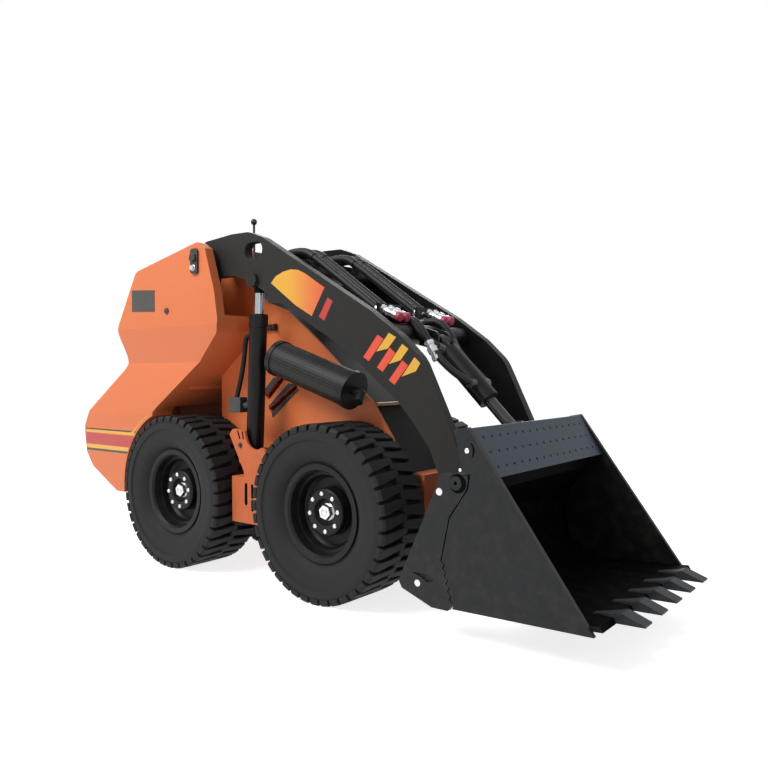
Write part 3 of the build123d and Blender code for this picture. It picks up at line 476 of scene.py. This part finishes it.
def tyreMesh(spec, axle, mirrorY):
    def onWheel(radius, angle, y):
        return axle + Vector((radius * math.cos(angle), y, radius * math.sin(angle)))

    pen = MeshPen()
    outer = spec["profile"]
    loop = outer + [(radius, -y) for radius, y in reversed(outer[:-1])]
    rings = [[onWheel(radius, angle, y) for angle in angles(spec["segments"])] for radius, y in loop]
    pen.grid(rings + rings[:1], capped=False)
    pitch = 2 * math.pi / spec["lugs"]
    root = spec["base"] - spec["root"]
    for flank in (1, -1):
        for lug in range(spec["lugs"]):
            centre = pitch * (lug + (0.0 if flank == mirrorY else 0.5))
            stations = []
            for y, shift, half, top in spec["bar"]:
                middle = centre + shift * pitch * mirrorY
                side = half * pitch
                lip = spec["lip"] / top
                shoulder = top - spec["shoulder"]
                row = [(root, -side), (shoulder, -side), (top, lip - side), (top, side - lip), (shoulder, side),
                       (root, side)]
                stations.append([onWheel(radius, middle + angle, y * flank) for radius, angle in row])
            pen.grid(stations)
    return pen


for wheel, x, sign in wheels():
    axle = spot(x, sign * machine["wheelY"], machine["axleZ"])
    rubber = tyreMesh(tyre, axle, sign)
    piece = rubber.place(f"treadedTyre_{wheel}", "tyreRubber", f"wheel_{wheel}", "tyre_rubber", tyre["sharpAngle"])
    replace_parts(piece, f"tyre_{wheel}")
print("tyres lugged")


# wheel centres: a raised flange on each boss with eight bright bolts round a sunk nut
hub = {"face": 276, "bolts": 8, "circle": 0.0625, "boltTurn": 0.15, "boltRadius": 0.0085, "boltHeight": 0.009,
       "rise": 0.028, "nutSeat": 0.008, "nut": 0.046, "nutHeight": 0.020, "nutWasher": 0.029, "tip": (0.012, 0.005),
       "flange": [(0.080, 0.0), (0.080, 0.020), (0.077, 0.025), (0.072, 0.028), (0.050, 0.028), (0.046, 0.026),
                  (0.043, 0.012), (0.040, 0.008)], "flangeSides": 56}
for wheel, x, sign in wheels():
    out = Vector((0, sign, 0))
    centre = spot(x, sign * hub["face"], machine["axleZ"])
    bright = MeshPen()
    for bolt in range(hub["bolts"]):
        angle = 2 * math.pi * (bolt + hub["boltTurn"]) / hub["bolts"]
        seat = centre + Vector((hub["circle"] * math.cos(angle), 0, hub["circle"] * math.sin(angle)))
        bright.domeHead(seat + out * hub["rise"], out, hub["boltRadius"], hub["boltHeight"])
    bright.hexHead(centre + out * hub["nutSeat"], out, hub["nut"], hub["nutHeight"], hub["nutWasher"])
    bright.domeHead(centre + out * hub["rise"], out, *hub["tip"])
    bright.place(f"wheelBolts_{wheel}", "boltSteel", f"wheel_{wheel}", "bare_steel")
    ring = MeshPen()
    ring.turn(centre, out, hub["flange"], hub["flangeSides"])
    ring.place(f"hubFlange_{wheel}", "rimDark", f"wheel_{wheel}", "rim_paint")
print("wheel centres done")


# printed stripes and plates on both sides, as x and z corners
armPrint = {"y": 270.0, "thick": 0.5,
            "red": [[(528, 804), (587, 874), (611, 859), (551, 791)], [(584, 771), (635, 832), (657, 815), (607, 757)],
                    [(631, 731), (684, 792), (705, 776), (653, 717)]],
            "yellow": [[(581, 821), (632, 878), (660, 864), (627, 829)],
                       [(631, 781), (683, 842), (707, 827), (676, 792)],
                       [(681, 742), (730, 801), (751, 782), (734, 758)]],
            "badge": [[(106, 1072), (130, 1094), (167, 1107), (205, 1112), (240, 1107), (270, 1094), (362, 1038),
                       (303, 946), (228, 986), (160, 1034)]],
            "accent": [[(376, 1004), (398, 990), (360, 928), (336, 943)]],
            # piece, shapes, finish
            "pieces": [("armStripes_red", "red", "stripeRed"), ("armStripes_yellow", "yellow", "stripeYellow"),
                       ("armBadge", "badge", "badgeFade"), ("armBadgeAccent", "accent", "bandRed")]}
bands = {"y": 345.0, "thick": 0.5, "sweepThick": 0.7, "arch": (-385.5, 295, 317),
         "finishes": ["stripeBlack", "stripeYellow", "bandRed"],
         # finish, tail x, top and bottom z
         "rows": [("stripeBlack", -982, 519, 513), ("stripeYellow", -983, 513, 501), ("bandRed", -983, 498, 450),
                  ("stripeYellow", -982, 450, 433), ("stripeBlack", -981, 433, 424)],
         # x, top and bottom z of the tail that runs up along the wheel arch
         "sweep": [(-650, 513, 501), (-628, 521, 511), (-606, 539, 531), (-580, 560, 554), (-552, 576, 572),
                   (-522, 588, 586)]}
dataPlate = {"y": 335.0, "thick": 1.2, "corners": [(-643, 1093), (-489, 1083), (-490, 998), (-644, 1006)]}
lockPlug = {"at": (-411, 335, 997), "sides": 28,
            "profile": [(0.012, 0), (0.012, 0.004), (0.010, 0.006), (0.006, 0.0062)]}
keeperBolt = {"at": (-235, 344, 1148), "flats": 0.019, "height": 0.010, "washer": 0.012}


def flatPieces(sign, y, shapes):
    pen = MeshPen()
    for corners, thick in shapes:
        pen.slab(corners, sign * y, sign * (y + thick))
    return pen


def archEdge(z):
    archX, archZ, radius = bands["arch"]
    return archX - math.sqrt(radius ** 2 - (z - archZ) ** 2)


def bandShapes(finish):
    shapes = []
    for rowFinish, tail, top, bottom in bands["rows"]:
        if rowFinish == finish:
            corners = [(tail, top), (archEdge(top), top), (archEdge(bottom), bottom), (tail, bottom)]
            shapes.append((corners, bands["thick"]))
    if finish == "stripeYellow":
        upper = [(x, top) for x, top, bottom in bands["sweep"]]
        lower = [(x, bottom) for x, top, bottom in reversed(bands["sweep"])]
        shapes.append((upper + lower, bands["sweepThick"]))
    return shapes


for side, sign in machine["sides"].items():
    out = (0, sign, 0)
    for name, key, finish in armPrint["pieces"]:
        shapes = [(corners, armPrint["thick"]) for corners in armPrint[key]]
        flatPieces(sign, armPrint["y"], shapes).place(f"{name}_{side}", finish, "arm", "black_paint")
    for finish in bands["finishes"]:
        band = flatPieces(sign, bands["y"], bandShapes(finish))
        band.place(f"housingBand_{finish}_{side}", finish, "chassis", "orange_paint")
    plate = flatPieces(sign, dataPlate["y"], [(dataPlate["corners"], dataPlate["thick"])])
    plate.place(f"dataPlate_{side}", "plateBare", "chassis", "bare_steel")
    plug = MeshPen()
    plug.turn(sideSpot(sign, lockPlug["at"]), out, lockPlug["profile"], lockPlug["sides"])
    plug.place(f"lockPlug_{side}", "pinBlack", "chassis", "bare_steel")
    keeper = MeshPen()
    keeper.hexHead(sideSpot(sign, keeperBolt["at"]), out, *(keeperBolt[key] for key in ("flats", "height", "washer")))
    keeper.place(f"keeperBolt_{side}", "boltSteel", "chassis", "bare_steel")
print("stripes and plates done")


# lift cylinders: gland ring, hard pipe up the back and its block
liftCylinder = {"foot": (-20, 240, 440), "eye": (15, 240, 1090), "barrel": 0.530,
                "gland": [(0.0325, -0.05), (0.0345, -0.048), (0.0345, -0.004), (0.031, 0.0), (0.0195, 0.0),
                          (0.0195, -0.01)], "glandSides": 40,
                "rear": (-0.034, 0, 0.002), "outward": 0.016, "pipeRadius": 0.009,
                # metres up the barrel, steps to the rear, steps outward
                "pipe": [(0.455, 0.8, 0.4), (0.450, 1.3, 0.8), (0.430, 1.45, 1.0), (0.36, 1.6, 1.0), (0.29, 2.0, 1.0),
                         (0.245, 2.4, 1.0), (0.215, 2.6, 1.0)],
                "block": (0.192, 2.45, 0.8), "blockHalf": (0.030, 0.018, 0.028), "blockBevel": 0.003,
                "neck": (0.192, 0.8, 0.4), "neckProfile": [(0.013, 0), (0.013, 0.030), (0.017, 0.031), (0.017, 0.040)]}


def liftRun(sign):
    return (sideSpot(sign, liftCylinder["eye"]) - sideSpot(sign, liftCylinder["foot"])).normalized()


def onBarrel(sign, up, back=0, wide=0):
    outward = Vector((0, sign * liftCylinder["outward"], 0))
    along = sideSpot(sign, liftCylinder["foot"]) + liftRun(sign) * up
    return along + Vector(liftCylinder["rear"]) * back + outward * wide


for side, sign in machine["sides"].items():
    body = f"lift_barrel_{side}"
    gland = MeshPen()
    top = onBarrel(sign, liftCylinder["barrel"])
    gland.turn(top, liftRun(sign), liftCylinder["gland"], liftCylinder["glandSides"])
    gland.place(f"liftGland_{side}", "barrelGrey", body, "cylinder_grey")
    pipe = MeshPen()
    pipe.tube(smoothPath([onBarrel(sign, *stop) for stop in liftCylinder["pipe"]]), liftCylinder["pipeRadius"])
    pipe.place(f"liftPipe_{side}", "barrelGrey", body, "cylinder_grey")
    block = MeshPen()
    middle, half = onBarrel(sign, *liftCylinder["block"]), Vector(liftCylinder["blockHalf"])
    block.box(middle - half, middle + half)
    block.turn(onBarrel(sign, *liftCylinder["neck"]), liftCylinder["rear"], liftCylinder["neckProfile"], 6)
    block.place(f"liftPipeBlock_{side}", "motorGrey", body, "cylinder_grey", bevel=liftCylinder["blockBevel"])
print("lift cylinders dressed")


# hoses: CAD routes carried on as smooth rubber with crimped ends and a sleeve over the middle third
hoses = {"radius": 0.0138, "sleeve": 0.0165, "sides": 18, "rows": [-140, -85, 85, 140],
         "route": [(110, 1112), (70, 1112), (50, 1125), (50, 1180), (72, 1195), (150, 1195), (200, 1167), (330, 1076),
                   (430, 1006), (508, 952)],
         "crimp": [(0.0165, 0.0), (0.0172, 0.004), (0.0172, 0.03), (0.0158, 0.034), (0.0142, 0.034)]}
fittingSides = 24
rubber, sleeves, crimps = MeshPen(), MeshPen(), MeshPen()
for y in hoses["rows"]:
    path = smoothPath([spot(x, y, z) for x, z in hoses["route"]])
    rubber.tube(path, hoses["radius"], hoses["sides"])
    third = len(path) // 3
    sleeves.tube(path[third:third * 2], hoses["sleeve"], hoses["sides"])
    for start, run in ((path[0], path[2] - path[0]), (path[-1], path[-3] - path[-1])):
        crimps.turn(start, run, hoses["crimp"], fittingSides)
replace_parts(rubber.place("armHoseRubber", "hoseRubber", "arm", "hose_rubber"), "arm_hoses")
sleeves.place("armHoseSleeves", "hoseRubber", "arm", "hose_rubber")
crimps.place("armHoseCrimps", "couplerSilver", "arm", "bare_steel")

# quick couplers with red caps in front of the hose plates
couplers = {"plateX": 514, "z": 964, "rows": [-152, -114, 114, 152], "lean": (1, 0, -0.42), "nut": (0.030, 0.012),
            "step": (0.010, 0, -0.002), "capAt": 0.056,
            "body": [(0.011, 0), (0.011, 0.012), (0.0165, 0.014), (0.0165, 0.028), (0.0125, 0.030), (0.0125, 0.040),
                     (0.0155, 0.042), (0.0155, 0.056), (0.011, 0.058)],
            "cap": [(0.0150, 0), (0.0165, 0.003), (0.0165, 0.014), (0.013, 0.018)]}
silver, caps = MeshPen(), MeshPen()
run = Vector(couplers["lean"]).normalized()
for y in couplers["rows"]:
    seat = spot(couplers["plateX"], y, couplers["z"])
    nose = seat + Vector(couplers["step"])
    silver.hexHead(seat, (1, 0, 0), *couplers["nut"])
    silver.turn(nose, run, couplers["body"], fittingSides)
    caps.turn(nose + run * couplers["capAt"], run, couplers["cap"], fittingSides)
silver.place("quickCouplers", "couplerSilver", "arm", "bare_steel")
caps.place("couplerCaps", "capRed", "arm", "grip_black")

# tilt hoses: from the plates over the tube and down both flanks of the tilt barrel to its ports
tiltHoses = {"radius": 0.0125, "sides": 16, "bendFrom": (600, 0, 925), "bendTo": (690, 0, 832),
             "far": [(510, 66, 930), (545, 68, 934), (592, 74, 930), (634, 78, 884), (658, 78, 836), (694, 76, 796),
                     (742, 70, 754), (780, 56, 728), (794, 44, 717), (794, 30, 717)],
             "near": [(510, 94, 930), (548, 94, 934), (592, 92, 926), (626, 92, 880), (656, 64, 852), (670, 48, 836),
                      (674, 30, 828)],
             "portEnd": [(0.014, 0.0), (0.0155, 0.002), (0.0155, 0.024), (0.013, 0.027)],
             "plateEnd": [(0.0145, 0.0), (0.0155, 0.004), (0.0155, 0.026), (0.013, 0.030)],
             # the far hose on the right is joined half way
             "fittingAt": (646, -78, 856),
             "fitting": [(0.0130, 0), (0.0165, 0.002), (0.0165, 0.014), (0.0140, 0.016), (0.0140, 0.024),
                         (0.0175, 0.026), (0.0175, 0.044), (0.0140, 0.046), (0.0140, 0.056), (0.0160, 0.058),
                         (0.0160, 0.070), (0.0130, 0.072)]}
flex, ends, joined = MeshPen(), MeshPen(), MeshPen()
for sign in machine["sides"].values():
    for key in ("far", "near"):
        path = smoothPath([sideSpot(sign, place) for place in tiltHoses[key]])
        flex.tube(path, tiltHoses["radius"], tiltHoses["sides"])
        ends.turn(path[-1], path[-4] - path[-1], tiltHoses["portEnd"], fittingSides)
        ends.turn(path[0], path[3] - path[0], tiltHoses["plateEnd"], fittingSides)
        if key == "far" and sign < 0:
            middle = spot(*tiltHoses["fittingAt"])
            joint = min(range(len(path)), key=lambda index: (path[index] - middle).length)
            joined.turn(path[joint], path[joint + 4] - path[joint], tiltHoses["fitting"], fittingSides)
for piece in (flex.place("tiltHoseRubber", "hoseRubber", None, "hose_rubber"),
              ends.place("tiltHoseEnds", "pinBlack", None, "bare_steel"),
              joined.place("tiltHoseFitting", "couplerSilver", None, "bare_steel")):
    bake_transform(piece)
print("hoses and couplers done")


# bucket sides: bright bolts, painted shadow round the pin and in the slot, sunk pin ends, painted-shadow strips behind
# the notched seams; shanks behind the teeth
bucketSide = {"y": 378, "boltHeight": 0.0012, "boltSides": 28,
              "bolts": [(890, 422, 0.0105), (981, 542, 0.0072), (959, 488, 0.0048), (814, 153, 0.0098)],
              "pin": (951, 378, 450), "pinShadowDisc": [(0.027, -0.001), (0.027, 0.0004)], "pinShadowDiscSides": 40,
              "slot": [(990, 566), (1000, 560), (1006, 546), (1003, 530), (996, 522), (999, 536), (999, 550),
                       (994, 560)], "slotSink": 1, "slotProud": 0.4,
              "pinEnd": (944, 378, 450), "pinEndSides": 32,
              "pinProfile": [(0.019, -0.001), (0.019, 0.0006), (0.017, 0.0010), (0.006, 0.0010), (0.005, 0.0004)],
              "strip": [(904, 232), (904, 334), (936, 364), (966, 392), (976, 380), (944, 340), (936, 285),
                        (946, 112), (914, 112)], "stripY": (361.5, 364.2)}
for side, sign in machine["sides"].items():
    out = (0, sign, 0)
    face = bucketSide["y"]
    bright = MeshPen()
    for x, z, radius in bucketSide["bolts"]:
        bright.domeHead(spot(x, sign * face, z), out, radius, bucketSide["boltHeight"], bucketSide["boltSides"])
    bright.place(f"bucketBolts_{side}", "boltSteel", "bucket", "bare_steel")
    # dark disc round the pin and dark patch in the slot: painted shadow
    dark = MeshPen()
    dark.turn(sideSpot(sign, bucketSide["pin"]), out, bucketSide["pinShadowDisc"], bucketSide["pinShadowDiscSides"])
    dark.slab(bucketSide["slot"], sign * (face - bucketSide["slotSink"]), sign * (face + bucketSide["slotProud"]))
    dark.place(f"pinShadowPatch_{side}", "slotShadowBlack", "bucket", "bucket_paint")
    pinEnd = MeshPen()
    pinEnd.turn(sideSpot(sign, bucketSide["pinEnd"]), out, bucketSide["pinProfile"], bucketSide["pinEndSides"])
    pinEnd.place(f"couplerPinEnd_{side}", "bucketCharcoal", "bucket", "bucket_paint")
    # near-black strip behind each seam: painted shadow seen in the seam gap
    strip = MeshPen()
    strip.slab(bucketSide["strip"], *(sign * y for y in bucketSide["stripY"]))
    strip.place(f"seamShadowStrip_{side}", "seamShadowBlack", "bucket", "bucket_paint")

# rear to front along each shank: x, half width, foot and top z
toothShank = {"rows": [-250, -125, 0, 125, 250], "draft": 2,
              "stations": [(1290, 11, 129, 131), (1349, 24, 132, 142), (1370, 25, 146, 149)]}
shanks = MeshPen()
for y in toothShank["rows"]:
    rings = []
    for x, half, low, top in toothShank["stations"]:
        upper = half - toothShank["draft"]
        rings.append([spot(x, y - half, low), spot(x, y + half, low), spot(x, y + upper, top), spot(x, y - upper, top)])
    shanks.grid(rings)
shanks.place("toothShanks", "toothSteel", "bucket", "bucket_paint")
print("bucket dressed")


# bright lip along the hood's lower edge and a rubber buffer on the right wall
hoodLip = {"corners": [(454, 640), (463, 640), (465, 650), (456, 652)], "half": 119}
lip = MeshPen()
lip.slab(hoodLip["corners"], -hoodLip["half"], hoodLip["half"])
lip.place("hoodLip", "lipGold", "chassis", "orange_paint")

# shares of the radius, and places from the rear end or, below zero, from the front end
wallBuffer = {"rear": (-74, -140, 927), "front": (-6, -140, 927), "radius": 0.011, "sides": 28,
              "rearEnd": [(0.7, 0), (1, 0.004)],
              "frontEnd": [(1, -0.020), (0.72, -0.018), (0.72, -0.014), (1.15, -0.012), (1.15, 0)]}
start, stop = spot(*wallBuffer["rear"]), spot(*wallBuffer["front"])
length = (stop - start).length
profile = [(wallBuffer["radius"] * share, along) for share, along in wallBuffer["rearEnd"]]
profile += [(wallBuffer["radius"] * share, length + along) for share, along in wallBuffer["frontEnd"]]
buffer = MeshPen()
buffer.turn(start, stop - start, profile, wallBuffer["sides"])
buffer.place("wallBuffer", "gripBlack", "chassis", "grip_black")
print("trim done")


# folded panels that close the bay beside the deck's skirt: lowest and highest corner of each sheet
bay = {"sheets": [((-640, 121, 464), (-637, 248, 691)), ((-652, 121, 464), (-637, 248, 467)),
                  ((-652, 245, 464), (-637, 248, 691))]}
for side, sign in machine["sides"].items():
    panel = MeshPen()
    for low, high in bay["sheets"]:
        panel.box(sideSpot(sign, low), sideSpot(sign, high))
    panel.place(f"bayPanel_{side}", "orangePaint", "chassis", "orange_paint")
print("bay closed")


# grey flats round the wall slots as painted shade widening their insides, near-black patches as painted shade in the
# slots of the lift brackets and the cross box, one bolt below each finger
slots = {"wallY": 132, "wallSlotShadeSink": 2, "wallSlotShadeProud": 0.6,
         "wallSlotShade": [[(-76, 666), (-97, 676), (-30, 736), (6, 739)], [(-58, 619), (-58, 628), (50, 716), (83, 712)],
                    [(-43, 603), (97, 697), (104, 690), (-36, 582)]],
         "y": 300, "sink": 1, "proud": 0.4,
         "finger": [[(-47, 546), (-40, 546), (-27, 516), (-34, 514)], [(-21, 543), (-14, 543), (-9, 516), (-16, 514)]],
         "box": [[(-7, 352), (-2, 358), (3, 358), (7, 352), (7, 284), (3, 277), (-3, 277), (-8, 284)],
                 [(27, 352), (30, 356), (36, 356), (39, 352), (39, 308), (36, 304), (30, 304), (27, 308)],
                 [(27, 296), (30, 300), (36, 300), (39, 296), (39, 262), (36, 258), (30, 258), (27, 262)]],
         "bolt": (-28, 300, 493), "boltSize": (0.013, 0.007, 0.009)}
for side, sign in machine["sides"].items():
    wallSlotShade = MeshPen()
    wall = slots["wallY"]
    # grey flats round each wall slot: painted shade that widens the slot's inside
    for corners in slots["wallSlotShade"]:
        wallSlotShade.slab(corners, sign * (wall - slots["wallSlotShadeSink"]), sign * (wall + slots["wallSlotShadeProud"]))
    wallSlotShade.place(f"slotShadeFlats_{side}", "motorGrey", "chassis", "orange_paint")
    dark = MeshPen()
    for corners in slots["finger"] + slots["box"]:
        dark.slab(corners, sign * (slots["y"] - slots["sink"]), sign * (slots["y"] + slots["proud"]))
    dark.place(f"slotShadowPatches_{side}", "slotShadowBlack", "chassis", "orange_paint")
    bolt = MeshPen()
    bolt.hexHead(sideSpot(sign, slots["bolt"]), (0, sign, 0), *slots["boltSize"])
    bolt.place(f"fingerBolt_{side}", "motorGrey", "chassis", "bare_steel")
print("brackets done")


# carried-over CAD nodes take their finishes here
nodeFinish = {
    "orangePaint": ["rear_housing_left", "rear_housing_right", "engine_deck"],
    "orangeLitWall": ["side_wall_left", "side_wall_right"],
    "orangeShadedPaint": ["chassis_frame", "lift_base_left", "lift_base_right"],
    "armBlack": ["arm_left", "arm_right"],
    "hoodGloss": ["hood"],
    "coverSatin": ["front_cover", "control_console"],
    "bucketShell": ["bucket_shell", "cutting_edge"],
    "bucketCharcoal": ["bucket_side_left", "bucket_side_right", "coupler_plate_left", "coupler_plate_right"],
    "guardGrey": ["bucket_guard"],
    "toothSteel": ["bucket_teeth"],
    "rimDark": ["rim_front_left", "rim_front_right", "rim_rear_left", "rim_rear_right"],
    "barrelGrey": ["lift_barrel_left", "lift_barrel_right", "tilt_barrel", "arm_cross_tube", "arm_tilt_tube"],
    "rodChrome": ["lift_rod_left", "lift_rod_right"],
    "rodDark": ["tilt_rod"],
    "pinBlack": ["arm_pivot_pins", "coupler_shaft"],
    "motorGrey": ["wheel_motors"],
    "engineIron": ["engine_block"],
    "gripBlack": ["control_levers"],
    "shieldPunched": ["muffler"],
    "treadPlate": ["operator_platform"],
}
for finish, names in nodeFinish.items():
    for name in names:
        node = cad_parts[name]
        node.data.materials.clear()
        node.data.materials.append(materials[finish])
print("CAD nodes finished")


# floor, light and camera
studio = {"floor": 60.0, "floorColour": (0.86, 0.86, 0.86), "floorRoughness": 0.9, "glow": 0.79, "world": 0.25,
          # name, place, aim, size, power
          "lamps": [("keyLight", (-1.3, -3.4, 4.2), (-0.1, 0, 0.6), (3.0, 2.4), 215.0),
                    ("fillLight", (4.2, -2.4, 2.2), (0.2, 0, 0.6), (2.5, 2.5), 10.0),
                    ("rimLight", (-2.6, 3.8, 2.8), (0, 0, 0.7), (3.0, 2.0), 100.0)]}


# rays that show the white floor and backdrop; the others only carry the plain light
def showingRays(pen):
    path = pen.add("ShaderNodeLightPath")
    seen = pen.math("MAXIMUM", path.outputs["Is Camera Ray"], path.outputs["Is Transmission Ray"])
    return pen.math("MAXIMUM", seen, path.outputs["Is Glossy Ray"])


def makeFloor():
    mesh = bpy.data.meshes.new("studioFloor")
    half = studio["floor"] / 2
    mesh.from_pydata([(-half, -half, 0), (half, -half, 0), (half, half, 0), (-half, half, 0)], [], [(0, 1, 2, 3)])
    floor = bpy.data.objects.new("studioFloor", mesh)
    bpy.context.scene.collection.objects.link(floor)
    material = bpy.data.materials.new("paleFloor")
    material.use_nodes = True
    pen = NodePen(material.node_tree)
    shader = material.node_tree.nodes["Principled BSDF"]
    pen.feed(shader, Base_Color=opaque(studio["floorColour"]), Roughness=studio["floorRoughness"])
    glow = pen.add("ShaderNodeEmission")
    pen.feed(glow, Color=(1, 1, 1, 1), Strength=pen.math("MULTIPLY", showingRays(pen), studio["glow"]))
    both = pen.add("ShaderNodeAddShader")
    pen.feed(both, s0=shader.outputs[0], s1=glow.outputs[0])
    pen.feed(material.node_tree.nodes["Material Output"], Surface=both.outputs[0])
    floor.data.materials.append(material)


def makeWorld():
    world = bpy.data.worlds.new("studioWorld")
    bpy.context.scene.world = world
    world.use_nodes = True
    pen = NodePen(world.node_tree)
    extra = pen.math("MULTIPLY", showingRays(pen), 1.0 - studio["world"])
    strength = pen.math("ADD", studio["world"], extra)
    pen.feed(world.node_tree.nodes["Background"], Color=(1, 1, 1, 1), Strength=strength)


def addLamp(name, place, aim, size, power):
    light = bpy.data.lights.new(name, "AREA")
    light.shape, light.size, light.size_y, light.energy = "RECTANGLE", size[0], size[1], power
    lamp = bpy.data.objects.new(name, light)
    lamp.location = place
    lamp.rotation_euler = (Vector(aim) - Vector(place)).to_track_quat("-Z", "Y").to_euler()
    bpy.context.scene.collection.objects.link(lamp)


makeFloor()
makeWorld()
for lamp in studio["lamps"]:
    addLamp(*lamp)

# angles in degrees, distance in metres, focus in pixels of the square frame
shot = {"azimuth": 38.1318, "elevation": 1.0081, "roll": -0.2729, "distance": 2.684045, "focus": 748.6288,
        "target": (399.5471, 0, 712.7621), "framePixels": 768, "sensor": 36.0}


def makeCamera(spec):
    turn, rise, roll = (math.radians(spec[key]) for key in ("azimuth", "elevation", "roll"))
    back = Vector((math.sin(turn) * math.cos(rise), -math.cos(turn) * math.cos(rise), math.sin(rise)))
    level = Vector((math.cos(turn), math.sin(turn), 0))
    up = back.cross(level)
    right = level * math.cos(roll) + up * math.sin(roll)
    top = up * math.cos(roll) - level * math.sin(roll)
    camera = bpy.data.objects.new("photoCamera", bpy.data.cameras.new("photoCamera"))
    bpy.context.scene.collection.objects.link(camera)
    place = spot(*spec["target"]) + back * spec["distance"]
    basis = Matrix((right, top, back)).transposed().to_4x4()
    camera.matrix_world = Matrix.Translation(place) @ basis
    camera.data.sensor_width = spec["sensor"]
    camera.data.lens = spec["focus"] / spec["framePixels"] * spec["sensor"]
    camera.data.dof.use_dof = False
    bpy.context.scene.camera = camera


makeCamera(shot)
bpy.context.scene.view_settings.view_transform = "Standard"
print("studio ready")
